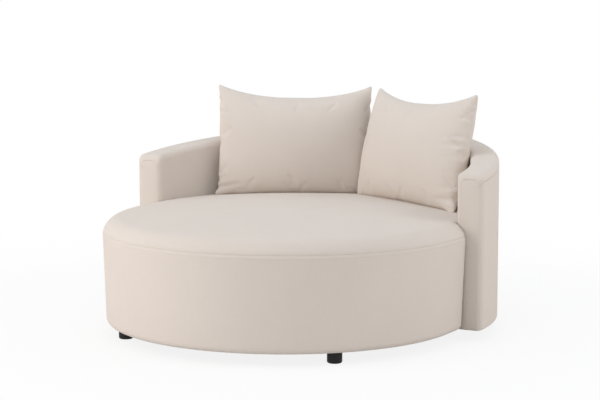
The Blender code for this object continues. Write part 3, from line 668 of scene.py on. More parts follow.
rows = []
for i in range(DUST_RINGS):
    share = 1 - i / DUST_RINGS
    hang = DUST_SAG * max(0.0, 1 - (share / DUST_STAPLED) ** 2)
    row = []
    for x, y in drum_outline(DUST_INSET + DRUM_TAPER, DUST_INSET + DRUM_TAPER):
        x, y = x * share, DRUM_LINE + (y - DRUM_LINE) * share
        ripple = DUST_RIPPLE * noise.noise(Vector((x * 14, y * 14, 2.2))) * min(1.0, hang / 0.001)
        row.append(Vector((x, y, DUST_FACE - DUST_CLOTH - hang - ripple)))
    rows.append(row)
dust_sheet(
    "seat_dust_sheet", rows, "seat_dust_cover", True,
    pole=Vector((0, DRUM_LINE, DUST_FACE - DUST_CLOTH - DUST_SAG)),
)
rows = []
low_radius = BACK_INNER + BACK_DUST_INSET
high_radius = BACK_OUTER - BACK_DUST_INSET
for r in range(BACK_DUST_ROWS + 1):
    radius = low_radius + (high_radius - low_radius) * r / BACK_DUST_ROWS
    start = math.asin(BACK_DUST_INSET / radius)
    sag = BACK_DUST_SAG * math.sin(math.pi * r / BACK_DUST_ROWS)
    row = []
    for i in range(BACK_DUST_COLUMNS + 1):
        turn = start + (math.pi - 2 * start) * i / BACK_DUST_COLUMNS
        height = DUST_FACE - DUST_CLOTH - sag * (1 + 0.5 * math.sin(turn * 46))
        row.append(Vector((radius * math.cos(turn), BACK_LINE + radius * math.sin(turn), height)))
    rows.append(row)
dust_sheet(
    "back_dust_sheet", rows, "back_dust_cover", False,
)

# Stitches: a row of lockstitches in a thread of the cloth's own colour, 14 mm below the seam
# round the drum. Each stitch sinks a little into the cloth.


def stitch_tree():
    """Geometry nodes that lay one stitch after another along a line."""
    tree = bpy.data.node_groups.new("stitch_row", "GeometryNodeTree")
    add_sockets(
        tree, "INPUT", ("Line", "Geometry"), ("Pitch", "Float", 0.005), ("Length", "Float", 0.0036),
        ("Thickness", "Float", 0.0009), ("Material", "Material"),
    )
    add_sockets(tree, "OUTPUT", ("Stitches", "Geometry"))
    given = tree.nodes.new("NodeGroupInput").outputs
    result = tree.nodes.new("NodeGroupOutput").inputs
    line = node_of(tree, "GeometryNodeMeshToCurve", {"Mesh": given["Line"]}).outputs["Curve"]
    sockets = {"Curve": line, "Length": given["Pitch"]}
    spaced = node_of(tree, "GeometryNodeResampleCurve", sockets, mode="LENGTH").outputs["Curve"]
    sockets = {"Segments": 6, "Rings": 4, "Radius": 0.5}
    bead = node_of(tree, "GeometryNodeMeshUVSphere", sockets).outputs["Mesh"]
    sockets = {"X": given["Thickness"], "Y": given["Thickness"], "Z": given["Length"]}
    size = node_of(tree, "ShaderNodeCombineXYZ", sockets).outputs["Vector"]
    tangent = tree.nodes.new("GeometryNodeInputTangent").outputs["Tangent"]
    turned = node_of(tree, "FunctionNodeAlignRotationToVector", {"Vector": tangent}, axis="Z")
    sockets = {
        "Points": spaced, "Instance": bead, "Rotation": turned.outputs["Rotation"], "Scale": size,
    }
    laid = node_of(tree, "GeometryNodeInstanceOnPoints", sockets).outputs["Instances"]
    real = node_of(tree, "GeometryNodeRealizeInstances", {"Geometry": laid}).outputs["Geometry"]
    sockets = {"Geometry": real, "Material": given["Material"]}
    feed(result["Stitches"], node_of(tree, "GeometryNodeSetMaterial", sockets).outputs["Geometry"])
    return tree


STITCH_ROW = stitch_tree()

thread, tree, shader = new_finish("sewing_thread", 0.7)
twist = noise_of(tree, object_place(tree), 2600)
colour(tree, shader, twist, (0.56, 0.48, 0.41), (0.74, 0.66, 0.58))


def stitched(name, lines, body, slot="upholstery_fabric", **sizes):
    """A plain mesh of stitches along each line of points, which is closed if it ends at its start."""
    points = []
    edges = []
    for line in lines:
        first = len(points)
        points += line
        edges += [(first + i, first + i + 1) for i in range(len(line) - 1)]
    mesh = bpy.data.meshes.new(name + "_line")
    mesh.from_pydata(points, edges, [])
    line_object = new_object(name + "_line", mesh)
    nodes = line_object.modifiers.new("stitches", "NODES")
    nodes.node_group = STITCH_ROW
    given = {**sizes, "Material": thread}
    for socket in STITCH_ROW.interface.items_tree:
        if socket.in_out == "INPUT" and socket.name in given:
            nodes[socket.identifier] = given[socket.name]
    graph = bpy.context.evaluated_depsgraph_get()
    made_mesh = bpy.data.meshes.new_from_object(line_object.evaluated_get(graph))
    line_object.modifiers.remove(nodes)
    bpy.data.objects.remove(line_object, do_unlink=True)
    made_mesh.shade_smooth()
    made = new_object(name, made_mesh)
    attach(made, body)


stitch_line = [p.copy() for p in side_rows[1 + side_runs.index(TOPSTITCH_DROP)]]
stitched("seat_topstitch", [stitch_line + [stitch_line[0]]], "sofa")

# Feet: four short round feet of black moulded plastic with a satin surface. The lower edge is
# rounded so that it doesn't mark a floor. A steel stud holds each one.

FOOT_RADIUS = 0.025
FOOT_BOTTOM_EDGE = 0.006
FOOT_TOP_EDGE = 0.0015
FOOT_BORE = 0.0043
FOOT_SIDES = 48

foot_plastic, tree, shader = new_finish("satin_foot_plastic", 0.34)
shader.inputs["Specular IOR Level"].default_value = 0.2
grain = noise_of(tree, object_place(tree), 1400)
dulled = noise_of(tree, object_place(tree), 60, 4.0)
colour(tree, shader, dulled, (0.010, 0.010, 0.011), (0.020, 0.019, 0.018))
feed(shader.inputs["Roughness"], sum_of(tree, "MULTIPLY_ADD", dulled, 0.18, 0.42))
relief(tree, shader, grain, 0.00006)


def join_rings(mesh_bm, rings):
    """Faces from each ring of points to the next, and from the last to the first."""
    for one, two in zip(rings, rings[1:] + rings[:1]):
        for i in range(len(one) - 1):
            mesh_bm.faces.new((one[i], one[i + 1], two[i + 1], two[i]))


for name in ("front_left", "front_right", "rear_left", "rear_right"):
    low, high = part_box("foot_" + name)
    middle = (low + high) / 2
    profile = [(FOOT_BORE, low.z + FOOT_BOTTOM_EDGE), (FOOT_BORE, low.z)]
    for turn in quarter(6):
        radius = FOOT_RADIUS - FOOT_BOTTOM_EDGE * (1 - math.sin(turn))
        profile.append((radius, low.z + FOOT_BOTTOM_EDGE * (1 - math.cos(turn))))
    for turn in quarter(3):
        radius = FOOT_RADIUS - FOOT_TOP_EDGE * (1 - math.cos(turn))
        profile.append((radius, high.z - FOOT_TOP_EDGE * (1 - math.sin(turn))))
    profile.append((FOOT_BORE, high.z))
    mesh_bm = bmesh.new()
    rings = []
    for radius, height in profile:
        ring = []
        for i in range(FOOT_SIDES):
            turn = math.tau * i / FOOT_SIDES
            x, y = middle.x + radius * math.cos(turn), middle.y + radius * math.sin(turn)
            ring.append(mesh_bm.verts.new((x, y, height)))
        rings.append(ring + ring[:1])
    join_rings(mesh_bm, rings)
    bmesh.ops.recalc_face_normals(mesh_bm, faces=mesh_bm.faces)
    mesh = mesh_from("foot", mesh_bm)
    mesh.shade_smooth()
    mesh.set_sharp_from_angle(angle=math.radians(40))
    mesh.materials.append(foot_plastic)
    foot = new_object("turned_foot_" + name, mesh)
    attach(foot, "sofa")
    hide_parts("foot_" + name)

# Back cover: one panel rises up the inside of the back, rolls over its top and round both arm
# ends, and meets the outside panel at a seam 28 mm below the top.

ARM_HEIGHT = 0.576
BACK_RISE = 0.085
BACK_EDGE = 0.020
BACK_FLOOR = 0.040
BACK_SEAM = 0.028
BACK_CENTRE = (BACK_INNER + BACK_OUTER) / 2
FLAT_TOP = 0.60
WALL_ROWS = 40
EDGE_ROWS = 12
ROLL_ROWS = 10
END_COLUMNS = 14
END_COLUMN = 0.022
ROUND_START = 2.8  # degrees
ROUND_COLUMNS = 200
END_DIP = (0.0007, 0.0022)
END_DIP_DRAW = 0.009
END_DIP_LOW = 0.012
END_DIP_SLANT = 0.6
END_FADE_START = 0.606
END_FADE = 0.012


def back_top(y):
    """The height of the back's sloping top, which the arms carry on to the front."""
    return ARM_HEIGHT + BACK_RISE / BACK_OUTER * (y - BACK_LINE)


def end_turns(count, reach):
    """How far behind the arm's end, and how much drawn in, each station of its rounded edge is."""
    for i in range(count + 1):
        turn = math.acos(1 - reach / BACK_EDGE) * (1 - i / count)
        yield BACK_EDGE * (1 - math.sin(turn)), BACK_EDGE * (1 - math.cos(turn))


def back_stations(reach=BACK_EDGE):
    """Stations from the right arm's end round to the left's: side, distance or angle, and draw."""
    ends = [*end_turns(END_COLUMNS, reach), (END_COLUMN, 0.0)]
    found = [("right", distance, draw) for distance, draw in ends]
    for i in range(ROUND_COLUMNS + 1):
        angle = ROUND_START + (180 - 2 * ROUND_START) * i / ROUND_COLUMNS
        found.append(("between", math.radians(angle), 0.0))
    return found + [("left", distance, draw) for distance, draw in ends[::-1]]


def swept(section, stations):
    """Carries a section of (radius, low height, share, drop, side) points round the back."""
    rows = []
    for part, where, draw in stations:
        row = []
        for radius, floor, share, drop, side in section:
            reach = radius - side * draw
            angle = where if part == "between" else math.asin(where / reach)
            if part == "left":
                angle = math.pi - angle
            y = BACK_LINE + reach * math.sin(angle)
            top = back_top(y) - drop - draw
            row.append(Vector((reach * math.cos(angle), y, floor + (top - floor) * share)))
        rows.append(row)
    return rows


def back_middle(point):
    """A point inside the back's thickness, near this one."""
    away = Vector((point.x, point.y - BACK_LINE)).normalized() * BACK_CENTRE
    return Vector((away.x, max(away.y, 0.04) + BACK_LINE, min(max(point.z, 0.12), 0.50)))


def station_run(stations):
    """How far round the back each station lies, for the cloth's UV metres."""
    runs = []
    for part, where, draw in stations:
        angle = where if part == "between" else math.asin(where / BACK_CENTRE)
        run = BACK_CENTRE * (math.pi - angle if part == "left" else angle)
        extra = 0.0
        if draw:
            extra = BACK_EDGE * (math.acos(1 - draw / BACK_EDGE) - (1 - where / BACK_EDGE))
        runs.append(run + extra if part == "left" else run - extra)
    return runs


def section_run(section):
    """How far up the section each point lies, for the cloth's UV metres."""
    return path_lengths([
        (radius, floor + (FLAT_TOP - drop - floor) * share)
        for radius, floor, share, drop, side in section
    ])


def at_top(radius, drop, side):
    """A point of the section that follows the back's top line."""
    return radius, 0.0, 1.0, drop, side


section = []
for tuck, rise in ((0.025, 0), (0.010, 0), (0.002, 0.001), (0, 0.005)):
    section.append((BACK_INNER + tuck, BACK_FLOOR + rise, 0.0, 0.0, -1))
for i in range(1, WALL_ROWS + 1):
    section.append((BACK_INNER, BACK_FLOOR + 0.005, i / WALL_ROWS, BACK_EDGE, -1))
for turn in quarter(EDGE_ROWS)[1:]:
    radius = BACK_INNER + BACK_EDGE * (1 - math.cos(turn))
    section.append(at_top(radius, BACK_EDGE * (1 - math.sin(turn)), -1))
for i in range(1, ROLL_ROWS):
    flat_width = BACK_OUTER - BACK_INNER - 2 * BACK_EDGE
    radius = BACK_INNER + BACK_EDGE + flat_width * i / ROLL_ROWS
    section.append(at_top(radius, 0.0, 2 * i / ROLL_ROWS - 1))
for turn in quarter(EDGE_ROWS)[::-1]:
    radius = BACK_OUTER - BACK_EDGE * (1 - math.cos(turn))
    section.append(at_top(radius, BACK_EDGE * (1 - math.sin(turn)), 1))
for above, sunk in (
    (0.0055, 0), (0.0035, 0), (0.0020, 0.0004), (0.0008, 0.0012), (0.0002, 0.0024), (0.0004, 0.006),
):
    section.append(at_top(BACK_OUTER - sunk, BACK_SEAM - above, 1))
stations = back_stations()
rows = swept(section, stations)
runs = station_run(stations)
heights = section_run(section)
for row, (part, where, draw) in zip(rows, stations):
    for p, (radius, floor, share, drop, side) in zip(row, section):
        if draw and share == 1 and drop < END_DIP_LOW:
            across = min(1.0, max(0.0, (abs(p.x) - END_FADE_START) / END_FADE))
            pull = dip(draw - END_DIP_DRAW, *END_DIP) * across
            p.y += pull
            p.z -= pull * END_DIP_SLANT
back_cover = skin(
    "back_inner_panel", rows, lambda r, i: (runs[r], heights[i]), back_middle, closed=False
)
sofa_cover(back_cover, "back_inside_cover")

# Outside cover of the back: a panel pulled down over thin padding from the seam below the top
# and stapled underneath. It turns the arms' outer corners to a soft upright seam.

OUTSIDE_REACH = 0.012
BACK_BOTTOM_EDGE = 0.012

section = []
for below, sunk in ((0.0006, 0.006), (0.0004, 0.0024), (0.0010, 0.0012), (0.0022, 0.0004), (0.0040, 0)):
    section.append(at_top(BACK_OUTER - sunk, BACK_SEAM + below, 1))
for i in range(1, WALL_ROWS + 1):
    share = 1 - i / WALL_ROWS
    section.append((BACK_OUTER, BACK_FLOOR + BACK_BOTTOM_EDGE, share, BACK_SEAM + 0.0040, 1))
for turn in quarter(6)[1:]:
    radius = BACK_OUTER - BACK_BOTTOM_EDGE * (1 - math.cos(turn))
    section.append((radius, BACK_FLOOR + BACK_BOTTOM_EDGE * (1 - math.sin(turn)), 0.0, 0.0, 1))
for tuck in (0.018, 0.025):
    section.append((BACK_OUTER - tuck, BACK_FLOOR, 0.0, 0.0, 1))
stations = back_stations(OUTSIDE_REACH)
rows = swept(section, stations)
runs = station_run(stations)
heights = section_run(section)
outside_cover = skin(
    "back_outer_panel", rows, lambda r, i: (runs[r], -heights[i]), back_middle, closed=False
)
sofa_cover(outside_cover, "back_outside_cover")

# Arm end panels: a slightly puffed panel of cloth over thin foam on each arm's end, sewn to the
# outside panel up its outer edge, and topstitched under the seam at its top.

PANEL_LAP = 0.0015
PANEL_TOP = back_top(BACK_LINE) - BACK_EDGE
PANEL_IN = BACK_INNER + BACK_EDGE - PANEL_LAP
PANEL_OUT = BACK_OUTER - OUTSIDE_REACH + 0.0002
PANEL_TOPSTITCH = 0.0215
PANEL_PUFF = 0.0016
PUFF_CURVE = 0.8
PUFF_FADE = 0.03
TOP_TUCK = 0.001
SIDE_TUCK = 0.0006
SIDE_TUCK_WIDTH = 0.002
PANEL_COLUMNS = 28
PANEL_ROWS = 96

columns = [
    PANEL_IN + (PANEL_OUT - PANEL_IN) * i / PANEL_COLUMNS for i in range(PANEL_COLUMNS + 1)
]
for side, mirror in (("left", -1), ("right", 1)):
    rows = []
    for j in range(PANEL_ROWS + 1):
        z = BACK_FLOOR + (PANEL_TOP + PANEL_LAP - BACK_FLOOR) * j / PANEL_ROWS
        groove = dip(PANEL_TOP + BACK_EDGE - z - PANEL_TOPSTITCH, *END_DIP)
        row = []
        for x in columns:
            draw = max(0.0, x - (BACK_OUTER - BACK_EDGE))
            bend = BACK_EDGE - math.sqrt(BACK_EDGE**2 - draw**2)
            share = (x - PANEL_IN) / (PANEL_OUT - PANEL_IN)
            puff = PANEL_PUFF * math.sin(math.pi * share) ** PUFF_CURVE
            puff *= min(1.0, (PANEL_TOP - z) / PUFF_FADE) if z < PANEL_TOP else 0.0
            pull = groove + bend
            if z > PANEL_TOP:
                pull += TOP_TUCK
            if x < PANEL_IN + SIDE_TUCK_WIDTH:
                pull += SIDE_TUCK
            row.append(Vector((mirror * x, BACK_LINE - puff + pull, z)))
        rows.append(row)
    panel = skin(
        "arm_end_panel_" + side, rows, lambda r, i: (columns[i], rows[r][0].z),
        lambda p: Vector((p.x, 0.2, p.z)), closed=False,
    )
    sofa_cover(panel, "arm_end_cover_" + side)

# Pillows: two loose cushions of the same cloth, cut a little over size, sewn round the edge and
# stuffed with fibre. Each stands on the seat and leans on the back's top edge.

PILLOW_WIDTH = 0.588
PILLOW_HEIGHT = 0.414
PILLOW_DEPTH = 0.185
SIDE_DRAW = 0.0055
TOP_DRAW = 0.050
BOTTOM_DRAW = 0.007
FULLNESS = 0.45
EDGE_CURVE = 2.4
FLAT_WIDTH = 0.64
FLAT_HEIGHT = 0.47
OVERSIZE = 0.03
BLOWN_START = 0.985
BLOWN_COLUMNS = 84
BLOWN_LINES = 60
AIR_FRAMES = 20
BROAD_TIMES = 24
HOLLOW_REACH = 0.006
PUFF_REACH = 0.0006
EDGE_CALM = 0.65
CALM_WIDTH = 0.30
FOLD_FADE = 0.7
RIDGE_AWAY = 1.9
RIDGE_WIDTH = 1.3
RIDGE_SHARE = 0.35
SEAM_GROOVE = 0.0011
GROOVE_EDGE_SHARE = 0.45
ZIP_HALF = 0.200
ZIP_GROOVE = 0.0018
CORNER_TUCK = 0.0035
CORNER_WIDTH = 0.02
CORNER_HEIGHT = 0.03
SETTLE_WIDTH = 0.40
SEAT_CLEAR = 0.0008
SEAT_RIM = EDGE_FLOOR + TOP_EDGE
SEAT_CROWN = 0.030
CROWN_RADIUS = DRUM_RADIUS - TOP_EDGE

# Each pillow's angle round the sofa, gap to the back, lift, turn, lean and roll.
PILLOW_SPOTS = {
    "left": (121.85, 0.0072, 0.0050, 30.8, 10.1, -0.8),
    "right": (54.42, 0.0258, 0.0049, -28.0, 15.0, 0.7),
}


def seat_surface(x, y):
    reach = math.hypot(x, y - DRUM_LINE) / CROWN_RADIUS
    return SEAT_RIM + SEAT_CROWN * (1 - min(1.0, reach) ** 2)


def pillow_place(around, spare, lift, turn, lean, roll):
    """Where a pillow stands: on the seat, against the back's top edge."""
    around, lean = math.radians(around), math.radians(lean)
    rise = back_top(BACK_LINE + BACK_INNER * math.sin(around)) - SEAT_RIM
    reach = BACK_INNER - rise * math.tan(lean) - PILLOW_DEPTH / 2 / math.cos(lean) - spare
    x, y = reach * math.cos(around), BACK_LINE + reach * math.sin(around)
    stand = Matrix.Translation((x, y, seat_surface(x, y) + lift))
    turned = Matrix.Rotation(math.radians(turn), 4, "Z") @ Matrix.Rotation(math.pi / 2 - lean, 4, "X")
    rolled = Matrix.Rotation(math.radians(roll), 4, "Z")
    return stand @ turned @ (rolled @ Matrix.Translation((0, PILLOW_HEIGHT / 2, 0)))


def spread(i, steps):
    """A column's or a line's place from -1 to 1, closer together towards the edges."""
    return -math.cos(math.pi * i / steps)


def stuffed(u, v, face):
    """A point of the stuffed case, from its middle, before its creases."""
    x = u * (PILLOW_WIDTH / 2 - SIDE_DRAW * (1 - v * v))
    y = v * (PILLOW_HEIGHT / 2 - (TOP_DRAW if v > 0 else BOTTOM_DRAW) * (1 - abs(u) ** EDGE_CURVE))
    fullness = max(0.0, (1 - u * u) * (1 - v * v)) ** FULLNESS
    return Vector((x, y, face * PILLOW_DEPTH / 2 * fullness))


def case_mesh(name, columns, lines, point):
    """Two faces joined along a sewn edge, with each point's (face, column, line)."""
    points, faces, flat, index, spots = [], [], [], {}, []
    for face in (1, -1):
        for i in range(columns + 1):
            for j in range(lines + 1):
                if face == -1 and (i in (0, columns) or j in (0, lines)):
                    index[face, i, j] = index[1, i, j]
                    continue
                index[face, i, j] = len(points)
                points.append(point(face, i, j))
                spots.append((face, i, j))
        for i in range(columns):
            for j in range(lines):
                ring = [(i, j), (i + 1, j), (i + 1, j + 1), (i, j + 1)][::face]
                faces.append([index[face, a, b] for a, b in ring])
                for a, b in ring:
                    flat.append(face + spread(a, columns) * FLAT_WIDTH / 2)
                    flat.append(spread(b, lines) * FLAT_HEIGHT / 2)
    mesh = bpy.data.meshes.new(name)
    mesh.from_pydata(points, [], faces)
    mesh.uv_layers.new(name="cloth").uv.foreach_set("vector", flat)
    mesh.update()
    return mesh, spots


def smooth_part(field, times):
    """The broad part of a field over both faces: each point's mean with its neighbours, repeated."""
    for _ in range(times):
        wide = np.pad(field, ((0, 0), (1, 1), (1, 1)), mode="edge")
        field = (wide[:, :-2, 1:-1] + wide[:, 2:, 1:-1] + wide[:, 1:-1, :-2] + wide[:, 1:-1, 2:]) / 4
    return field


def puckers():
    """How far the blown-up cloth stands off the smooth form, without its broad swelling.

    It is a grid of metres for the front and the back.
    """
    field = np.zeros((2, BLOWN_COLUMNS + 1, BLOWN_LINES + 1))

    def start_point(face, i, j):
        return stuffed(spread(i, BLOWN_COLUMNS), spread(j, BLOWN_LINES), face) * BLOWN_START

    mesh, spots = case_mesh("blown_case", BLOWN_COLUMNS, BLOWN_LINES, start_point)
    start = [(v.co.copy(), v.normal.copy()) for v in mesh.vertices]
    blown = new_object("blown_case", mesh)
    cloth = blown.modifiers.new("cloth", "CLOTH")
    cloth.settings.quality = 5
    cloth.settings.mass = 0.3
    cloth.settings.bending_stiffness = 0.5
    cloth.settings.use_pressure = True
    cloth.settings.uniform_pressure_force = 4
    cloth.settings.shrink_min = -OVERSIZE
    cloth.settings.effector_weights.gravity = 0
    cloth.collision_settings.use_collision = False
    cloth.point_cache.frame_end = AIR_FRAMES
    scene = bpy.context.scene
    now = scene.frame_current
    for frame_number in range(1, AIR_FRAMES + 1):
        scene.frame_set(frame_number)
    graph = bpy.context.evaluated_depsgraph_get()
    result = bpy.data.meshes.new_from_object(blown.evaluated_get(graph))
    for (face, i, j), (co, normal), vert in zip(spots, start, result.vertices):
        move = (vert.co - co).dot(normal)
        field[0 if face == 1 else 1, i, j] = move
        if i in (0, BLOWN_COLUMNS) or j in (0, BLOWN_LINES):
            field[1, i, j] = move
    scene.frame_set(now)
    bpy.data.objects.remove(blown, do_unlink=True)
    return field - smooth_part(field, BROAD_TIMES)


def twice_as_fine(field):
    """The grid with a point added half way between each two, on a smooth curve through them."""
    for axis in (1, 2):
        field = np.moveaxis(field, axis, 0)
        wide = np.concatenate([2 * field[:1] - field[1:2], field, 2 * field[-1:] - field[-2:-1]])
        fine = np.empty((2 * len(field) - 1, *field.shape[1:]))
        fine[0::2] = field
        fine[1::2] = (9 * (wide[1:-2] + wide[2:-1]) - wide[:-3] - wide[3:]) / 16
        field = np.moveaxis(fine, 0, axis)
    return field


def near(distance, width):
    """1 at a place, and less and less away from it."""
    return math.exp(-((distance / width) ** 2))


def fold(p, start, end, depth, width):
    """A crease from a place on the edge inwards: a valley, and a low ridge beside it."""
    line = end - start
    share = max(0.0, min(1.0, (p - start).dot(line) / line.length_squared))
    away = (p - start) - line * share
    distance = away.length * (1 if line.cross(away) > 0 else -1)
    fade = (1 - share) ** FOLD_FADE
    valley = near(distance, width)
    ridge = near(distance - RIDGE_AWAY * width, RIDGE_WIDTH * width)
    return depth * fade * (RIDGE_SHARE * ridge - valley)


# Creases of the front as (u, v) where each starts and ends, its depth and its width.
FOLDS = {
    "left": (
        ((-1.00, -0.87), (-0.70, -0.80), 0.0060, 0.0075),
        ((-1.00, -0.70), (-0.86, -0.68), 0.0016, 0.0060),
        ((-1.00, 0.50), (-0.86, 0.49), 0.0024, 0.0065),
        ((-1.00, 0.16), (-0.88, 0.17), 0.0012, 0.0060),
    ),
    "right": (
        ((1.00, 0.55), (0.86, 0.58), 0.0030, 0.0060),
        ((1.00, 0.24), (0.72, 0.17), 0.0024, 0.0065),
        ((1.00, 0.09), (0.74, 0.02), 0.0026, 0.0065),
        ((1.00, -0.12), (0.80, -0.17), 0.0016, 0.0060),
        ((1.00, -0.36), (0.80, -0.42), 0.0014, 0.0060),
        ((1.00, -0.62), (0.76, -0.68), 0.0022, 0.0070),
        ((1.00, -0.80), (0.68, -0.86), 0.0050, 0.0085),
        ((0.99, -0.96), (0.86, -0.86), 0.0030, 0.0065),
        ((-1.00, -0.66), (-0.84, -0.67), 0.0034, 0.0060),
        ((-1.00, 0.40), (-0.88, 0.38), 0.0014, 0.0060),
    ),
}

# How far the edge beside the arm bulges, and which lower corner is pushed out, and how far.
SIDE_BULGE = {"left": 0.0, "right": 0.009}
BULGE_LINE = -0.45
BULGE_WIDTH = 0.45
EARS = {
    "left": (-1, Vector((-0.010, -0.002, 0.008))),
    "right": (1, Vector((0.013, -0.007, 0.010))),
}
EAR_WIDTH = 0.10
EAR_HEIGHT = 0.15

blown = twice_as_fine(puckers())
CASE_COLUMNS = blown.shape[1] - 1
CASE_LINES = blown.shape[2] - 1
smooth_case, smooth_spots = case_mesh(
    "smooth_case", CASE_COLUMNS, CASE_LINES,
    lambda face, i, j: stuffed(spread(i, CASE_COLUMNS), spread(j, CASE_LINES), face),
)


def case_points(side):
    """Every point of one case in the room, by face, column and line, and the way it faces."""
    stand = pillow_place(*PILLOW_SPOTS[side])
    ear_u, ear_move = EARS[side]
    flip = side == "right"
    folds = [
        (stuffed(*start, 1).xy, stuffed(*end, 1).xy, depth, width)
        for start, end, depth, width in FOLDS[side]
    ]
    edge_gap = []
    for i in range(CASE_COLUMNS + 1):
        p = stand @ stuffed(spread(i, CASE_COLUMNS), -1, 0)
        edge_gap.append(p.z - seat_surface(p.x, p.y) - SEAT_CLEAR)
    placed = {}
    for (face, i, j), vert in zip(smooth_spots, smooth_case.vertices):
        u, v = spread(i, CASE_COLUMNS), spread(j, CASE_LINES)
        p, normal = vert.co.copy(), vert.normal.copy()
        from_edge = min(i, CASE_COLUMNS - i, j, CASE_LINES - j)
        move = blown[int((face == 1) == flip), CASE_COLUMNS - i if flip else i, j]
        move = max(-HOLLOW_REACH, move) if move < 0 else PUFF_REACH * math.tanh(move / PUFF_REACH)
        move *= 1 - EDGE_CALM * near(abs(v) - 1, CALM_WIDTH)
        if face == 1:
            for start, end, depth, width in folds:
                if (p.xy - start).length < (end - start).length + 3 * width:
                    move += fold(p.xy, start, end, depth, width)
        if from_edge <= 1:
            groove = ZIP_GROOVE if v < 0 and abs(p.x) < ZIP_HALF + 0.004 else SEAM_GROOVE
            from_corner = 1 - u * u if min(j, CASE_LINES - j) <= 1 else 1 - v * v
            groove *= min(1.0, from_corner * 3)
            move -= groove if from_edge == 0 else groove * GROOVE_EDGE_SHARE
        p += normal * move
        p.x += SIDE_BULGE[side] * max(0.0, u) ** 4 * near(v - BULGE_LINE, BULGE_WIDTH)
        if face == 1 or from_edge == 0:
            p += ear_move * (near(u - ear_u, EAR_WIDTH) * near(v + 1, EAR_HEIGHT))
        tuck = CORNER_TUCK * near(abs(u) - 1, CORNER_WIDTH) * near(abs(v) - 1, CORNER_HEIGHT)
        p -= Vector((math.copysign(tuck, u), math.copysign(tuck, v), 0))
        p = stand @ p
        p.z -= edge_gap[i] * near(v + 1, SETTLE_WIDTH)
        p.z = max(p.z, seat_surface(p.x, p.y) + SEAT_CLEAR)
        placed[face, i, j] = (p, (stand.to_3x3() @ normal).normalized())
        if from_edge == 0:
            placed[-face, i, j] = placed[face, i, j]
    return placed


def pillow_piece(name, mesh, side, material, slot, *nodes):
    mesh.shade_smooth()
    mesh.materials.append(material)
    made = new_object(name, mesh)
    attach(made, "pillow_" + side)
    if nodes:
        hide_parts(*nodes)
    return made


fibre, tree, shader = new_finish("polyester_fibre", 0.95)
tufts = noise_of(tree, object_place(tree), 60, 6.0)
strands = noise_of(tree, stretched(tree, object_place(tree), (900, 260, 900)), 1.0, 3.0)
share = mixed(tree, 0.6, tufts, strands)
colour(tree, shader, share, (0.74, 0.74, 0.72), (0.92, 0.92, 0.90))
relief(tree, shader, share, 0.0015, 0.8)

# Its darker gap colour is painted shade between the threads.
zip_cloth = cloth_finish(
    "zip_tape_weave", 1400.0, (0.66, 0.58, 0.50), (0.54, 0.47, 0.39), 0.3, 0.00015, by_uv=False
)

STUFFING_GAP = 0.004
STUFFING_RING = 8
STUFFING_STEP = 4
STUFFING_COLUMNS = (CASE_COLUMNS - 2 * STUFFING_RING) // STUFFING_STEP
STUFFING_LINES = (CASE_LINES - 2 * STUFFING_RING) // STUFFING_STEP

# The zip tape's section, and the slider's body and pull by size and middle.
TAPE_SECTION = (
    (-0.0028, 0.0002), (-0.0026, 0.0006), (0.0026, 0.0006), (0.0028, 0.0002), (0.0026, 0.0),
    (-0.0026, 0.0),
)
TEETH_HALF = 0.0005
TEETH_DROP = 0.0008
SLIDER_DROP = 0.0019
SLIDER_EDGE = 0.00025
SLIDER = (
    ((0.0080, 0.0014, 0.0052), (-0.190, 0.0009, 0)),
    ((0.0130, 0.0006, 0.0034), (-0.180, 0.0003, 0)),
)


def stuffing_point(placed, face, i, j):
    """A point of the stuffing, a little inside the case."""
    at = (STUFFING_RING + STUFFING_STEP * i, STUFFING_RING + STUFFING_STEP * j)
    front, front_way = placed[1, *at]
    rear, rear_way = placed[-1, *at]
    if i in (0, STUFFING_COLUMNS) or j in (0, STUFFING_LINES):
        return (front + rear) / 2 - (front_way + rear_way) * STUFFING_GAP / 2
    return front - front_way * STUFFING_GAP if face == 1 else rear - rear_way * STUFFING_GAP


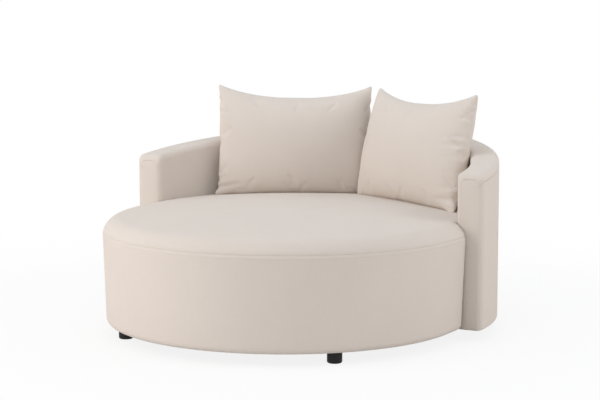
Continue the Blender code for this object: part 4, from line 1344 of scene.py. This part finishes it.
for side in ("left", "right"):
    placed = case_points(side)
    mesh, _ = case_mesh("pillow_case", CASE_COLUMNS, CASE_LINES, lambda *spot: placed[spot][0])
    case = pillow_piece(
        "pillow_case_" + side, mesh, side, upholstery, "upholstery_fabric", "pillow_cover_" + side
    )

    # The stuffing: a block of fibre that fills the case.
    mesh, _ = case_mesh(
        "pillow_stuffing", STUFFING_COLUMNS, STUFFING_LINES, lambda *spot: stuffing_point(placed, *spot)
    )
    stuffing = pillow_piece(
        "pillow_stuffing_" + side, mesh, side, fibre, "fibre_filling", "pillow_filling_" + side
    )

    # The zip: a tape sewn into the lower seam's groove, two rows of teeth and a slider.
    stand = pillow_place(*PILLOW_SPOTS[side])
    to_pillow = stand.inverted()
    line = [placed[1, i, 0][0] for i in range(CASE_COLUMNS + 1)]
    line = [p for p in line if abs((to_pillow @ p).x) < ZIP_HALF]
    across = stand.to_3x3() @ Vector((0, 0, 1))
    rise = stand.to_3x3() @ Vector((0, 1, 0))
    mesh_bm = bmesh.new()
    tape = [[mesh_bm.verts.new(p + across * a - rise * b) for p in line] for a, b in TAPE_SECTION]
    join_rings(mesh_bm, tape)
    mesh_bm.faces.new([row[0] for row in tape])
    mesh_bm.faces.new([row[-1] for row in tape])
    bmesh.ops.recalc_face_normals(mesh_bm, faces=mesh_bm.faces)
    mesh = mesh_from("zip_tape", mesh_bm)
    pillow_piece("zip_tape_" + side, mesh, side, zip_cloth, "zip_tape", "pillow_zip_" + side)
    teeth = [[p + across * a - rise * TEETH_DROP for p in line] for a in (-TEETH_HALF, TEETH_HALF)]
    stitched(
        "zip_teeth_" + side, teeth, "pillow_" + side, "zip_tape",
        Pitch=0.0018, Length=0.0012, Thickness=0.0009,
    )
    mesh_bm = bmesh.new()
    for size, middle in SLIDER:
        for vert in bmesh.ops.create_cube(mesh_bm, size=1)["verts"]:
            vert.co = Vector([vert.co[k] * size[k] + middle[k] for k in range(3)])
    bmesh.ops.bevel(
        mesh_bm, geom=mesh_bm.edges[:], offset=SLIDER_EDGE, segments=2, profile=0.5, affect="EDGES"
    )
    low = (to_pillow @ line[0]).y - SLIDER_DROP
    for vert in mesh_bm.verts:
        vert.co = stand @ (vert.co + Vector((0, low, 0)))
    mesh = mesh_from("zip_slider", mesh_bm)
    pillow_piece("zip_slider_" + side, mesh, side, zinc, "zinc_steel")
bpy.data.meshes.remove(smooth_case)

# Studio: a pale floor, a white surround and four large soft lamps, the strongest at the left
# front, one low in front, a cooler one above and a weak one at the right.

FLOOR_HALF = 20
FLOOR_GLOW = {"From Min": 0.7, "From Max": 2.6, "To Min": 0.86, "To Max": 1.0}


def seen_directly(tree):
    """1 for what the camera sees, also in gloss or through glass, and 0 for other light."""
    rays = tree.nodes.new("ShaderNodeLightPath").outputs
    toward = sum_of(tree, "MAXIMUM", rays["Is Camera Ray"], rays["Is Glossy Ray"])
    return sum_of(tree, "MAXIMUM", toward, rays["Is Transmission Ray"])


floor_mesh = bpy.data.meshes.new("floor")
corners = [(x * FLOOR_HALF, y * FLOOR_HALF, 0) for x, y in ((-1, -1), (1, -1), (1, 1), (-1, 1))]
floor_mesh.from_pydata(corners, [], [(0, 1, 2, 3)])
floor = new_object("floor", floor_mesh)
pale, tree, shader = new_finish("studio_floor", 0.9)
mottle = noise_of(tree, object_place(tree), 1.5)
colour(tree, shader, mottle, (0.80, 0.79, 0.78), (0.83, 0.82, 0.81))
glow = tree.nodes.new("ShaderNodeEmission")
away = node_of(tree, "ShaderNodeVectorMath", {0: object_place(tree)}, operation="LENGTH")
fade = node_of(
    tree, "ShaderNodeMapRange", {"Value": away.outputs["Value"], **FLOOR_GLOW},
    interpolation_type="SMOOTHSTEP",
)
share = sum_of(tree, "MULTIPLY", seen_directly(tree), fade.outputs["Result"])
sockets = {0: share, 1: shader.outputs["BSDF"], 2: glow.outputs["Emission"]}
mixer = node_of(tree, "ShaderNodeMixShader", sockets)
feed(tree.nodes["Material Output"].inputs["Surface"], mixer.outputs["Shader"])
floor_mesh.materials.append(pale)

world = bpy.data.worlds.new("studio")
world.use_nodes = True
bpy.context.scene.world = world
tree = world.node_tree
sky = tree.nodes["Background"]
sky.inputs["Color"].default_value = (0.97, 0.98, 1.0, 1)
sky.inputs["Strength"].default_value = 0.60
backdrop = node_of(tree, "ShaderNodeBackground", {"Color": (1, 1, 1, 1)})
sockets = {0: seen_directly(tree), 1: sky.outputs["Background"], 2: backdrop.outputs["Background"]}
mixer = node_of(tree, "ShaderNodeMixShader", sockets)
feed(tree.nodes["World Output"].inputs["Surface"], mixer.outputs["Shader"])

for name, spot, size, power, tint in (
    ("key_light", (-3.2, -2.9, 2.4), 2.4, 74, (1.0, 0.96, 0.93)),
    ("rim_light", (3.6, 0.6, 1.8), 2.2, 35, (1.0, 0.97, 0.96)),
    ("top_light", (0.2, -0.4, 4.2), 3.2, 41, (0.70, 0.86, 1.0)),
    ("front_fill", (-1.4, -4.6, 0.6), 3.0, 47, (1.0, 0.96, 0.94)),
):
    lamp_data = bpy.data.lights.new(name, "AREA")
    lamp_data.size = size
    lamp_data.energy = power
    lamp_data.color = tint
    lamp = new_object(name, lamp_data)
    lamp.location = spot
    aim = Vector((0, 0, 0.35)) - Vector(spot)
    lamp.rotation_euler = aim.to_track_quat("-Z", "Y").to_euler()

bpy.context.scene.view_settings.view_transform = "Standard"
